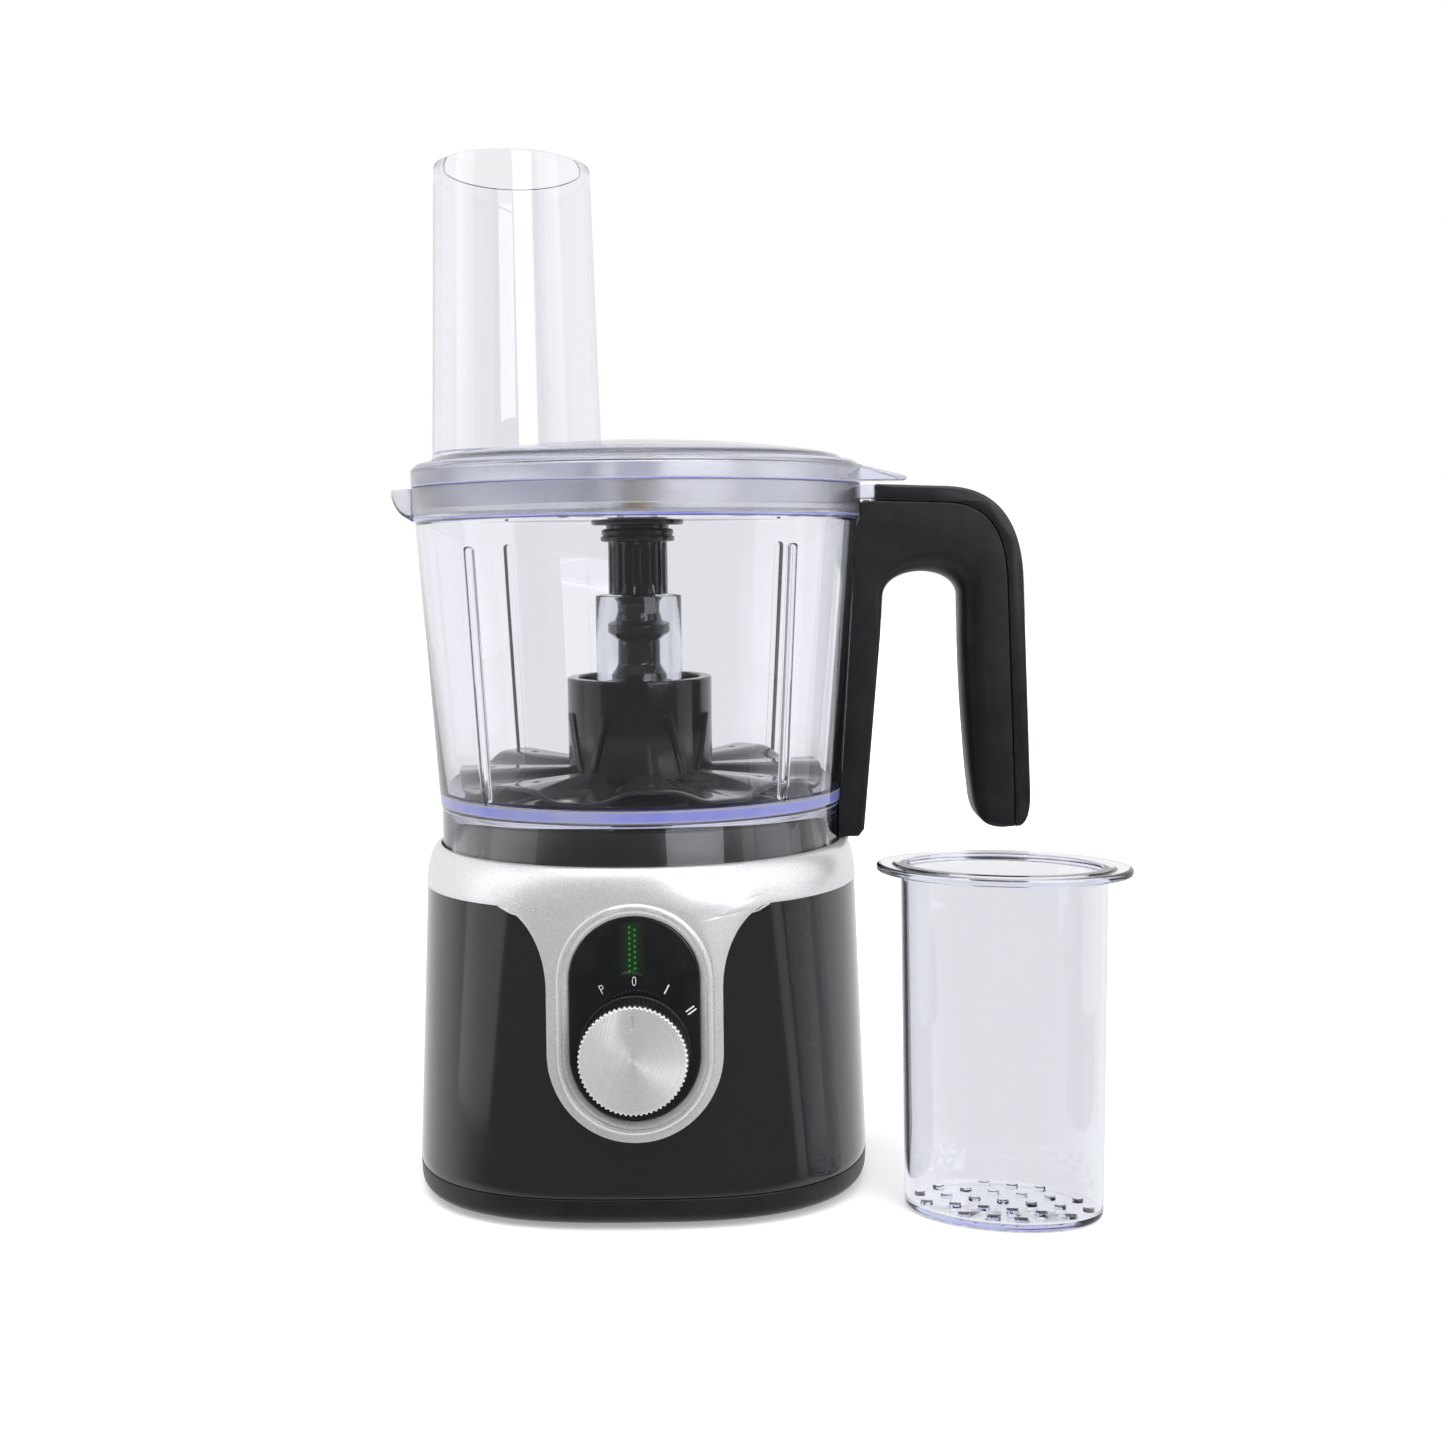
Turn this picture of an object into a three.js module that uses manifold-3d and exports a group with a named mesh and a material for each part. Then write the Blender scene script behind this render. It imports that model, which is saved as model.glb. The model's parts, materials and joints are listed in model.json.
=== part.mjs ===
// Food processor with a geared base, a clear bowl with a handle, a lid with a tall oval chute,
// a stack of tools on one spindle, and a loose pusher standing beside it.
// Millimetres, +Z up, +X towards the handle, -Y towards the user.
// The origin is the middle of the base's underside, on the axis of the bowl.
import * as THREE from 'three';
import { mergeVertices } from 'three/addons/utils/BufferGeometryUtils.js';
import Module from 'manifold-3d';

const wasm = await Module();
wasm.setup();

// ---- Driving dimensions ----

const gap = 0.3; // between pieces that sit in or on one another
const runningGap = 0.08; // between a shaft and its bush
const roundSides = 32; // sides of a large round piece
const mediumSides = 20;
const smallSides = 12; // sides of a small round piece
const waveSides = 40; // sides of the wavy disc, a few for each wave

// Base shell: a rounded square that gets smaller and rounder as it rises
const bodyHalf = 90.5; // half width at the seam
const bodyTaper = 3.5; // lost on each side by the top
const bodyTopHalf = bodyHalf - bodyTaper;
const bodySquareness = 2.8; // exponent of the outline, 2 is a circle
const bodyTopSquareness = 2.25;
const seamZ = 10; // between the bottom cover and the motor housing
const bodyTopZ = 118; // between the motor housing and the silver collar
const bodyWall = 2.6;
const deckThickness = 2.6;
const edgeRounding = 4; // of the bottom cover's lower edge

// Bowl, whose foot stands in the collar's well
const footSkirtRadius = 81.1;
const bowlBottomRadius = footSkirtRadius + 0.6;
const bowlTopRadius = 89;
const bowlWall = 2.6;
const bowlFloorThickness = 3;
const bowlFootHeight = 26.2; // from the well's floor to the bowl's floor
const bowlDepth = 108.8; // from its floor to the top of its wall
const rimStep = 1.5; // the rim stands proud of the wall
const rimRadius = bowlTopRadius + rimStep;
const rimWall = 2.8;
const rimHeight = 11.9;
const ribWidth = 4;
const ribDepth = 2.4;
const chimneyRadius = 15.5;
const chimneyBore = 13;
const chimneyHeight = 19.8;

// Silver collar and apron
const collarHeight = 15;
const wellDepth = 7;
const wellClearance = 0.4; // round the bowl's foot
const wellFloorThickness = 2.5;
const collarLip = 0.7; // flat top beside the well
const apronOverlap = 4; // of the apron with the collar above it
const platformGap = 3.2; // between the raised platform and the inside of the bowl's foot
const platformDrop = 2.7; // from the underside of the bowl's floor to the platform's top
const platformHeight = bowlFootHeight - bowlFloorThickness - platformDrop;
const platformWall = 2.4;
const platformEdge = 1; // chamfer round its top
const wellRadius = footSkirtRadius + wellClearance;
const collarTopHalf = wellRadius + collarLip;
const collarTopZ = bodyTopZ + collarHeight;
const wellFloorZ = collarTopZ - wellDepth;
const apronBottomZ = 31.5;
const apronFrame = 8.5; // width of the silver frame round the panel
const apronFlare = 21.2; // run of the curve from the apron into the collar
const apronFlareHeight = 25;
const apronWall = 3.2;

// Control panel, knob and indicator
const panelHalf = 24.3;
const apronHalf = panelHalf + apronFrame;
const panelBottomZ = apronBottomZ + 7.5;
const panelTopZ = bodyTopZ - 2.5;
const panelRecess = 1.8;
const panelThickness = 7.4;
const panelFlange = 2.5; // lip behind the apron
const panelFlangeThickness = 1.5;
const knobZ = panelBottomZ + panelHalf + 2.2;
const knobRadius = 20.8;
const knobDepth = 15.5;
const knobFloor = 3; // solid front of the knob, past the shaft
const capRadius = 20.1;
const capThickness = 2.6;
const pointerInner = 11;
const pointerOuter = 17;
const pointerWidth = 1.2;
const switchShaftRadius = 3;
const switchSize = 26;
const switchDepth = 18;
const lensLeft = -5.2;
const lensRight = 3.9;
const lensTopZ = panelTopZ - 2;
const lensBottomZ = knobZ + knobRadius + 5.7;
const lensThickness = 2.5;
const boardThickness = 1.6;
const boardMargin = 2.5;

// Feet and base screws
const footHeight = 2;
const footRadius = 9;
const footEdge = 0.8;
const footSpacing = bodyHalf - 32.5; // from the axis, in X and in Y
const footStemRadius = 3;
const footStemLength = 4;
const coverWall = 2.5;
const screwX = bodyHalf - 18.5;
const screwY = 40;
const screwRadius = 1.5;
const screwLength = 14;
const screwHeadRadius = 3.7;
const screwHeadHeight = 2;
const screwHeadRecess = 0.7;
const screwBossRadius = 6.5;
const screwBossHeight = 5;
const pillarRadius = 4.5;
const ventCount = 5;
const ventPitch = 12;
const ventWidth = 4;
const ventLength = 34;

// Motor, gears and output shaft
const gearModule = 1.5;
const pinionTeeth = 10;
const mainGearTeeth = 44;
const gearBacklash = 0.35;
const gearThickness = 8;
const gearHeadroom = 3.4; // under the housing's deck
const gearBottomZ = bodyTopZ - deckThickness - gearHeadroom - gearThickness;
const gearHubWall = 4;
const motorOffset = (gearModule * (pinionTeeth + mainGearTeeth)) / 2;
const plateThickness = 3;
const plateBottomZ = gearBottomZ - 2 - plateThickness;
const plateHalfX = 50;
const plateFrontY = -40;
const plateBackY = motorOffset + 31.5;
const platePillarRadius = 4;
const platePillarInset = 7.5; // from the plate's edges
const statorHalfX = 30;
const statorHalfY = 28;
const fanRoom = 21; // between the stator and the gear plate
const lowerBracketZ = 26; // underside of the motor's lower bracket
const brushRoom = 24; // between the lower bracket's underside and the stator
const statorTopZ = plateBottomZ - fanRoom;
const statorBottomZ = lowerBracketZ + brushRoom;
const rotorRadius = 16.8;
const airGap = 0.5;
const windingBulge = 4.5;
const motorShaftRadius = 3;
const coilInner = 20;
const coilThickness = 4;
const coilHalfY = 13.5;
const coilWindow = 10.3;
const coilOverhang = 4.2;
const bracketThickness = 4;
const bracketLeg = 4;
const lowerBracketHalfY = 20;
const commutatorRadius = 9;
const commutatorHeight = 10;
const commutatorBottomZ = statorBottomZ - commutatorHeight - 6;
const brushWidth = 7;
const fanRadius = 23;
const fanHubRadius = 7;
const fanBlades = 8;
const fanThickness = 5.5;
const fanPlateThickness = 1.2;
const fanBladeHalf = 0.7; // half a blade's thickness
const fanBottomZ = statorTopZ + 6.5;
const outputShaftRadius = 4;
const bushWall = 2.2;
const bushOuterRadius = outputShaftRadius + bushWall;
const bushLength = 9;
const bossWall = 3;
const bushBossDrop = 1.5; // below the top of the housing
const outputShaftBottomZ = plateBottomZ - bushLength - 4;
const sealThickness = 1.6;
const couplingRadius = 9;
const couplingSplines = 6;
const couplingSplineDepth = 1.4;
const couplingHeight = 31.8;
const couplingBottomZ = wellFloorZ + sealThickness + 2 * gap;
const couplingTopZ = couplingBottomZ + couplingHeight;
const couplingSkirtRadius = 11.5;
const couplingSkirtHeight = 4;
const platformBore = couplingSkirtRadius + 2.5;
const outputShaftTopZ = couplingTopZ - 3;
const glandZ = 25;
const glandRadius = 5;
const glandFlange = 2.4;
const glandFlangeWidth = 2.5;
const glandLipThickness = 2; // inside the housing
const cableRadius = 3.3;

// Heights of the bowl
const bowlFloorZ = wellFloorZ + bowlFootHeight;
const bowlWallTopZ = bowlFloorZ + bowlDepth;
const rimBottomZ = bowlWallTopZ + 2.4;
const rimTopZ = rimBottomZ + rimHeight;
const chimneyTopZ = bowlFloorZ + chimneyHeight;
const ribBottomZ = bowlFloorZ + 2.8;
const ribTopZ = bowlWallTopZ - 11;
const spoutReach = 9.2; // past the rim
const spoutTipX = -rimRadius - spoutReach;
const spoutHalfWidth = 17;
const spoutTipHalfWidth = 6;
const spoutWall = 1.8;
const railSpacing = 6.5;
const railWidth = 3;
const railDepth = 5;
const railBottomZ = bowlFloorZ + 5.8;
const railTopZ = bowlWallTopZ - 29;
const earTipX = rimRadius + 5.4;
const earHalfWidth = 8;
const earBottomZ = rimTopZ - 5.4;

// Handle, placed from the bowl's rim and foot
const handleHalfWidth = 13;
const handleTopZ = rimTopZ + 0.1;
const handleReach = 67.7; // from the rim to the outer edge of the grip's lower end
const handleLean = 2.9; // how far the grip leans out towards its lower end
const handleShoulder = 30.3; // length of the outward curve at the top, along X
const handleShoulderDrop = 38.3;
const handleTopFall = 1.1; // of the top, from the bowl to the shoulder
const gripEndHeight = 13; // of the rounding at the outer edge's lower end
const gripEndInset = 4.2;
const handleBottomZ = collarTopZ + 4;
const handleEdge = 3; // bevel of the long edges
const coverEdge = 1;
const handleCoverThickness = 6.5;
const gripWidth = 28.3; // with its cover, at the lower end of the arch
const archDrop = 63.4; // from the top to where the finger gap's sides end
const archSides = 18.5; // height of the straight sides above that
const archRise = 31.8; // of the curve's control points
const gripNarrowing = 4.6; // of the grip at its lower end
const legTopWidth = 7.1; // past the rim
const legBottomWidth = 9.7; // past the bowl's foot
const earSlotHalf = 2.4;

// Interlock rod in the handle's inner leg
const rodRadius = 1.5;
const rodBottomX = footSkirtRadius + 2.1;
const rodRimGap = 2.258; // from the rim's lower edge to the rod's middle
const rodBottomZ = collarTopZ + 0.7;
const rodTopZ = earBottomZ - 0.5;
const rodRun = (rimRadius + rodRimGap - rodBottomX) / (rimBottomZ - rodBottomZ);
const rodTopX = rodBottomX + rodRun * (rodTopZ - rodBottomZ);
const rodTravel = 4;
const rodFlangeRadius = 2.8;
const springRadius = 2.4;
const springWire = 0.35;
const springTurns = 6;
const springLength = 18;
const springTopFromEnd = 14;
const plungerRadius = 0.8;

// Tools on the spindle
const socketOuterRadius = chimneyBore - 0.4;
const socketBottomZ = couplingTopZ - 20;
const socketTopZ = couplingTopZ + 8;
const spindleShoulderRadius = 16;
const webZ = chimneyTopZ + 12;
const webThickness = 3;
const keyHalfLength = 15;
const keyHalfWidth = 2.5;
const keyHubRadius = 12.7;
const keyTopZ = webZ + 8;
const cutterDiscZ = rimTopZ - 13.3;
const cutterDiscThickness = 1;
const cutterClearance = 3.9; // to the bowl's wall
const clampThickness = 2.7;
const clampTopZ = cutterDiscZ + cutterDiscThickness + gap + clampThickness;
const carrierRadius = 12.1;
const carrierNeckRadius = 12.8;
const carrierRingRadius = 15.1;
const carrierRingThickness = 5.2;
const carrierFlangeRadius = 18.8;
const carrierBossRadius = 10;
const carrierFlangeZ = cutterDiscZ - 2.5;
const carrierRingZ = carrierFlangeZ - 6.9;
const carrierFluteLength = 21.9;
const sleeveTopZ = carrierRingZ - carrierFluteLength;
const sleeveRadius = 17.5;
const sleeveWall = 1.5;
const spindleRadius = 8.6;
const spindleShoulderZ = sleeveTopZ - 2.3;
const spindleFlangeZ = spindleShoulderZ - 13.4;
const spindleFlangeThickness = 3.5;
const spindleTopRadius = 7;
const pinRadius = 4;
const pinBottomZ = clampTopZ - 0.3;
const pinTopZ = rimTopZ + 4.7;
const cupRadius = 29.5;
const cupMouthRadius = 25;
const cupTopZ = webZ + 13;
const cupBottomZ = bowlFloorZ + 4.8;
const waveClearance = 1.9; // to the bowl's ribs
const waveDiscRadius = bowlBottomRadius - bowlWall - ribDepth - waveClearance;
const waveHeight = 3.2;
const waveInnerHeight = 2.4;
const waveCount = 8;
const waveTurn = 6; // degrees from the front to the first crest
const waveThickness = 1.6;
const waveDiscZ = bowlFloorZ + waveThickness + waveHeight + 1.2; // middle of the top surface
const bladeInner = 24;
const bladeWidth = 13;
const bladeThickness = 0.8;
const bladeMargin = 6.5; // to the disc's edge
const slotWidth = 9;

// Lid
const lidTopZ = rimTopZ + 18.7;
const lidShoulderZ = rimTopZ + 9.5;
const lidWall = 2.5;
const spigotGap = 0.4;
const spigotBottomZ = rimTopZ - 8.3;
const spigotWall = 2;
const lidBushWall = 2.2;
const lidBushOuterRadius = pinRadius + lidBushWall;
const lidBossRadius = 8.5;
const lidBossBottomZ = clampTopZ + 1.3;
const finTipX = rimRadius + 18.5;
const finHalfWidth = 9;
const finLift = 1.9; // above the bowl's rim
const finTipThickness = 1.3;

// Chute
const chuteX = -48;
const chuteTopHalfX = 30.95;
const chuteTaper = 3; // gained on each side by the lower end
const chuteBottomHalfX = chuteTopHalfX + chuteTaper;
const chuteStretch = 11.55; // added to the half width across the chute
const chuteHeight = 108; // above the lid
const chuteTopZ = lidTopZ + chuteHeight;
const chuteTaperZ = rimTopZ + 12.7;
const chuteBottomZ = rimTopZ - 5.7;
const chuteWall = 2.2;

// Pusher, standing on the table
const pusherX = bodyHalf + 48.1;
const pusherY = -70;
const pusherTurn = -19; // degrees, its right end is nearer the user
const pusherHeight = 133;
const pusherClearance = 1.25; // inside the chute
const pusherTopHalf = chuteTopHalfX - chuteWall - pusherClearance;
const pusherTaper = 1.1;
const pusherBottomHalf = pusherTopHalf - pusherTaper;
const pusherStretch = chuteStretch;
const pusherWall = 2.2;
const pusherFloor = 2.6;
const pusherFlange = 9.4;
const pusherFlangeThickness = 3;
const nubRadius = 2.4;
const nubHeight = 1.6;
const nubPitch = 12;
const nubRowRatio = 0.87; // between rows, of the pitch

// ---- Materials ----

function material(color, roughness, metalness, opacity = 1) {
  return new THREE.MeshStandardMaterial({
    color, roughness, metalness, opacity, transparent: opacity < 1,
  });
}

const glossBlack = material(0x1c1c1f, 0.12, 0);
const satinBlack = material(0x232326, 0.45, 0);
const silverPaint = material(0xc9ccd0, 0.32, 0.6);
const spunAluminium = material(0xdadcdf, 0.25, 1);
const clearPlastic = material(0xdfe4f2, 0.08, 0, 0.35);
const smokedLens = material(0x102010, 0.1, 0);
const toolPlastic = material(0x24242b, 0.2, 0);
const steel = material(0xb9bcc0, 0.3, 1);
const laminatedSteel = material(0x6f7276, 0.5, 0.9);
const copper = material(0xb06a3a, 0.35, 1);
const brass = material(0xb5934a, 0.35, 1);
const whiteNylon = material(0xe8e6de, 0.5, 0);
const greyRubber = material(0x3a3a3c, 0.85, 0);
const boardGreen = material(0x1f5a34, 0.6, 0);

// ---- Solid helpers ----

function solid(geometry) {
  const bare = geometry.index ? geometry.clone() : geometry;
  bare.deleteAttribute('normal');
  bare.deleteAttribute('uv');
  const merged = mergeVertices(bare, 1e-4);
  const made = new wasm.Manifold(new wasm.Mesh({
    numProp: 3,
    vertProperties: new Float32Array(merged.attributes.position.array),
    triVerts: new Uint32Array(merged.index.array),
  }));
  if (made.volume() > 0) return made;
  merged.index.array.reverse();
  return new wasm.Manifold(new wasm.Mesh({
    numProp: 3,
    vertProperties: new Float32Array(merged.attributes.position.array),
    triVerts: new Uint32Array(merged.index.array),
  }));
}

function piece(name, shape, look) {
  const mesh = shape.getMesh();
  const geometry = new THREE.BufferGeometry();
  geometry.setAttribute('position', new THREE.BufferAttribute(mesh.vertProperties, 3));
  geometry.setIndex(new THREE.BufferAttribute(mesh.triVerts, 1));
  geometry.computeVertexNormals();
  const made = new THREE.Mesh(geometry, look);
  made.name = name;
  return made;
}

// Turns a profile of [radius, z] points about the Z axis. A profile that doesn't start on the
// axis is closed on itself. reshape(x, y, index of the profile point) moves each vertex.
function lathe(profile, sides = roundSides, reshape = null) {
  const points = profile.map(([radius, z]) => new THREE.Vector2(radius, z));
  if (profile[0][0] > 0) points.push(points[0].clone());
  const geometry = new THREE.LatheGeometry(points, sides);
  geometry.rotateX(Math.PI / 2);
  if (reshape) {
    const position = geometry.attributes.position;
    for (let i = 0; i < position.count; i++) {
      const index = (i % points.length) % profile.length;
      const [x, y, lift = 0] = reshape(position.getX(i), position.getY(i), index);
      position.setXYZ(i, x, y, position.getZ(i) + lift);
    }
  }
  return solid(geometry);
}

// A lathe whose outline is a rounded square; each profile point is [half width, z, exponent].
function squareLathe(profile) {
  return lathe(profile, roundSides, (x, y, index) => {
    const power = profile[index][2];
    const radius = Math.hypot(x, y);
    if (radius < 1e-6) return [x, y];
    const reach = (Math.abs(x / radius) ** power + Math.abs(y / radius) ** power) ** (-1 / power);
    return [x * reach, y * reach];
  });
}

// A lathe whose outline is an oval, longer along Y by the stretch on each side.
function ovalLathe(profile, stretch) {
  return lathe(profile, roundSides, (x, y) => {
    const radius = Math.hypot(x, y);
    return radius < 1e-6 ? [x, y] : [x, y + (stretch * y) / radius];
  });
}

function box(x0, x1, y0, y1, z0, z1) {
  const geometry = new THREE.BoxGeometry(x1 - x0, y1 - y0, z1 - z0);
  geometry.translate((x0 + x1) / 2, (y0 + y1) / 2, (z0 + z1) / 2);
  return solid(geometry);
}

function cylinder(radius, z0, z1, sides = smallSides) {
  const geometry = new THREE.CylinderGeometry(radius, radius, z1 - z0, sides);
  geometry.rotateX(Math.PI / 2);
  geometry.translate(0, 0, (z0 + z1) / 2);
  return solid(geometry);
}

// A ring whose flat-sided bore leaves the inner radius free all round.
function ring(inner, outer, z0, z1, sides = smallSides) {
  const bore = inner / Math.cos(Math.PI / sides);
  return lathe([[bore, z0], [outer, z0], [outer, z1], [bore, z1]], sides);
}

// A cylinder along Y, from y0 to y1.
function crossCylinder(radius, y0, y1, sides = smallSides) {
  const geometry = new THREE.CylinderGeometry(radius, radius, y1 - y0, sides);
  geometry.translate(0, (y0 + y1) / 2, 0);
  return solid(geometry);
}

// A flat outline drawn in X and Z, pushed along Y from y0 to y1.
function slab(outline, y0, y1, curveSteps = 10) {
  const geometry = new THREE.ExtrudeGeometry(outline, {
    depth: y1 - y0, bevelEnabled: false, curveSegments: curveSteps,
  });
  geometry.rotateX(Math.PI / 2);
  geometry.translate(0, y1, 0);
  return solid(geometry);
}

// A flat outline drawn in X and Y, pushed up from z0 to z1.
function prism(outline, z0, z1) {
  const geometry = new THREE.ExtrudeGeometry(outline, { depth: z1 - z0, bevelEnabled: false });
  geometry.translate(0, 0, z0);
  return solid(geometry);
}

function polygon(points) {
  return new THREE.Shape(points.map(([x, y]) => new THREE.Vector2(x, y)));
}

function joinAll(shapes) {
  return shapes.reduce((whole, shape) => whole.add(shape));
}

function corners(halfX, halfY) {
  return [[-halfX, -halfY], [halfX, -halfY], [halfX, halfY], [-halfX, halfY]];
}

// ---- Base shell ----

const bodyDraft = Math.atan2(bodyHalf - bodyTopHalf, bodyTopZ - seamZ);

function bodyHalfAt(z) {
  return bodyHalf - Math.tan(bodyDraft) * (z - seamZ);
}

function bodySquarenessAt(z) {
  const share = (z - seamZ) / (bodyTopZ - seamZ);
  return bodySquareness + (bodyTopSquareness - bodySquareness) * share;
}

// The base's tapered form, moved in from the outer surface by inset.
function bodyForm(inset, z0, z1) {
  const levels = 3;
  const profile = [[0, z0, 2]];
  for (let i = 0; i < levels; i++) {
    const z = z0 + ((z1 - z0) * i) / (levels - 1);
    profile.push([bodyHalfAt(z) - inset, z, bodySquarenessAt(z)]);
  }
  profile.push([0, z1, 2]);
  return squareLathe(profile);
}

// The apron's outline, grown by extra on its sides and bottom.
function apronOutline(extra, topZ) {
  const half = apronHalf + extra;
  const flare = apronHalf + apronFlare + extra;
  const outline = new THREE.Shape();
  outline.moveTo(flare, topZ);
  outline.lineTo(flare, bodyTopZ);
  outline.quadraticCurveTo(half, bodyTopZ - extra, half, bodyTopZ - apronFlareHeight);
  outline.lineTo(half, apronBottomZ + apronHalf);
  outline.absarc(0, apronBottomZ + apronHalf, half, 0, -Math.PI, true);
  outline.lineTo(-half, bodyTopZ - apronFlareHeight);
  outline.quadraticCurveTo(-half, bodyTopZ - extra, -flare, bodyTopZ);
  outline.lineTo(-flare, topZ);
  return outline;
}

function stadium(half, bottomZ, topZ) {
  const outline = new THREE.Shape();
  outline.absarc(0, topZ - half, half, 0, Math.PI, false);
  outline.absarc(0, bottomZ + half, half, Math.PI, 2 * Math.PI, false);
  return outline;
}

function motorHousing() {
  const bottom = seamZ + gap / 2;
  const deckBottom = bodyTopZ - deckThickness;
  let shell = bodyForm(0, bottom, bodyTopZ).subtract(bodyForm(bodyWall, bottom - 1, deckBottom));
  const pillars = corners(screwX, screwY).map(([x, y]) => cylinder(
    pillarRadius, screwBossHeight + gap, bodyTopZ - 1,
  ).translate([x, y, 0]));
  const hangerHalfY = (plateBackY - plateFrontY) / 2 - platePillarInset;
  const hangerMiddleY = (plateBackY + plateFrontY) / 2;
  const hangers = corners(plateHalfX - platePillarInset, hangerHalfY).map(([x, y]) => cylinder(
    platePillarRadius, plateBottomZ + plateThickness + gap, bodyTopZ - 1,
  ).translate([x, y + hangerMiddleY, 0]));
  shell = joinAll([shell, ...pillars, ...hangers]);
  const screwHoles = corners(screwX, screwY).map(([x, y]) => cylinder(
    screwRadius + gap, 0, screwHeadRecess + screwHeadHeight + screwLength + 2,
  ).translate([x, y, 0]));
  const apronCut = slab(apronOutline(gap, bodyTopZ + 5), -bodyHalf - 5, -bodyTopHalf + 25);
  const shaftHole = cylinder(bushOuterRadius + bossWall + 4, deckBottom - 1, bodyTopZ + 1);
  const plungerHole = cylinder(plungerRadius + 0.5, deckBottom - 1, bodyTopZ + 1)
    .translate([rodBottomX, 0, 0]);
  const glandHole = crossCylinder(glandRadius + gap, bodyHalf - 15, bodyHalf + 5)
    .translate([0, 0, glandZ]);
  return [...screwHoles, apronCut, shaftHole, plungerHole, glandHole]
    .reduce((whole, cut) => whole.subtract(cut), shell);
}

function bottomCover() {
  const half = bodyHalf;
  const top = seamZ - gap / 2;
  const n = bodySquareness;
  const rounding = edgeRounding;
  const profile = [
    [0, 0, 2], [half - rounding, 0, n], [half - rounding * 0.3, rounding * 0.3, n],
    [half, rounding, n], [half, top, n], [half - coverWall, top, n],
    [half - coverWall, coverWall, n], [0, coverWall, 2],
  ];
  const bosses = corners(screwX, screwY).map(([x, y]) => cylinder(
    screwBossRadius, 0.5, screwBossHeight,
  ).translate([x, y, 0]));
  const counterbore = screwHeadRecess + screwHeadHeight + gap;
  const screwHoles = corners(screwX, screwY).map(([x, y]) => cylinder(
    screwHeadRadius + gap, -1, counterbore,
  ).add(cylinder(screwRadius + gap, -1, screwBossHeight + 1)).translate([x, y, 0]));
  const stemHoles = corners(footSpacing, footSpacing).map(([x, y]) => cylinder(
    footStemRadius + gap, -1, coverWall + 1,
  ).translate([x, y, 0]));
  const vents = [];
  for (let i = 0; i < ventCount; i++) {
    const x = (i - (ventCount - 1) / 2) * ventPitch;
    const y = motorOffset - ventLength / 2;
    vents.push(box(x - ventWidth / 2, x + ventWidth / 2, y, y + ventLength, -1, coverWall + 1));
  }
  const tray = joinAll([squareLathe(profile), ...bosses]);
  return [...screwHoles, ...stemHoles, ...vents].reduce((whole, cut) => whole.subtract(cut), tray);
}

function topCollar() {
  const bottom = bodyTopZ + gap;
  const n = bodyTopSquareness;
  const rise = collarTopZ - bottom;
  const fall = bodyTopHalf - collarTopHalf;
  const arc = [0, 0.4, 0.8, 1].map((share) => [
    bodyTopHalf - fall * (1 - Math.sqrt(1 - share ** 2)),
    bottom + rise * share,
    n + (2 - n) * share,
  ]);
  const boreRadius = bushOuterRadius + gap;
  const bossRadius = boreRadius + bossWall;
  const bossBottom = bodyTopZ - bushBossDrop;
  const floorBottom = wellFloorZ - wellFloorThickness;
  const ringShape = squareLathe([
    ...arc, [wellRadius, collarTopZ, 2], [wellRadius, wellFloorZ, 2],
    [boreRadius, wellFloorZ, 2], [boreRadius, bossBottom, 2], [bossRadius, bossBottom, 2],
    [bossRadius, floorBottom, 2], [wellRadius - 3, floorBottom, 2],
    [wellRadius + 2.5, bottom, 2],
  ]);
  const apronTop = bodyTopZ + apronOverlap;
  const apron = bodyForm(0, seamZ, apronTop).subtract(bodyForm(apronWall, seamZ - 1, apronTop + 1))
    .intersect(slab(apronOutline(0, apronTop), -bodyHalf - 5, -bodyHalf + 35));
  const window = slab(
    stadium(panelHalf + gap, panelBottomZ - gap, panelTopZ + gap), -bodyHalf - 5, -bodyHalf + 25,
  );
  const plungerHole = cylinder(rodRadius + gap, bodyTopZ - 5, collarTopZ + 5)
    .translate([rodBottomX, 0, 0]);
  return ringShape.add(apron).subtract(window).subtract(plungerHole);
}

// The raised platform that fills the bowl's foot: an upturned cup, open round the coupling.
function bowlPlatform() {
  const outer = footSkirtRadius - bowlWall - platformGap;
  const bottom = wellFloorZ + gap;
  const top = wellFloorZ + platformHeight;
  const inner = outer - platformWall;
  return lathe([
    [inner, bottom], [outer, bottom], [outer, top - platformEdge], [outer - platformEdge, top],
    [platformBore, top], [platformBore, top - platformWall], [inner, top - platformWall],
  ]);
}

function foot() {
  return lathe([
    [0, -footHeight], [footRadius - footEdge, -footHeight], [footRadius, -gap],
    [footStemRadius, -gap], [footStemRadius, footStemLength], [0, footStemLength],
  ], smallSides);
}

function baseScrew() {
  const headTop = screwHeadRecess + screwHeadHeight;
  return lathe([
    [0, screwHeadRecess], [screwHeadRadius, screwHeadRecess], [screwHeadRadius, headTop],
    [screwRadius, headTop], [screwRadius, headTop + screwLength], [0, headTop + screwLength],
  ], smallSides);
}

function cableGland() {
  const outer = bodyHalfAt(glandZ) + 1;
  const neck = glandRadius;
  const flange = neck + glandFlangeWidth;
  const inner = outer - bodyWall - glandFlange;
  const shape = lathe([
    [cableRadius, inner - glandLipThickness], [flange, inner - glandLipThickness],
    [flange, inner], [neck, inner],
    [neck, outer], [flange + 0.5, outer], [flange, outer + glandFlange],
    [cableRadius, outer + glandFlange],
  ], smallSides);
  return shape.rotate([-90, 0, 0]).translate([0, 0, glandZ]);
}

// ---- Control panel, in a frame whose origin is the knob's middle on the panel's face ----

const panelY = -bodyHalfAt(knobZ) + panelRecess;
const panelLow = panelBottomZ - knobZ;
const panelHigh = panelTopZ - knobZ;
const lensLow = lensBottomZ - knobZ;
const lensHigh = lensTopZ - knobZ;

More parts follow.
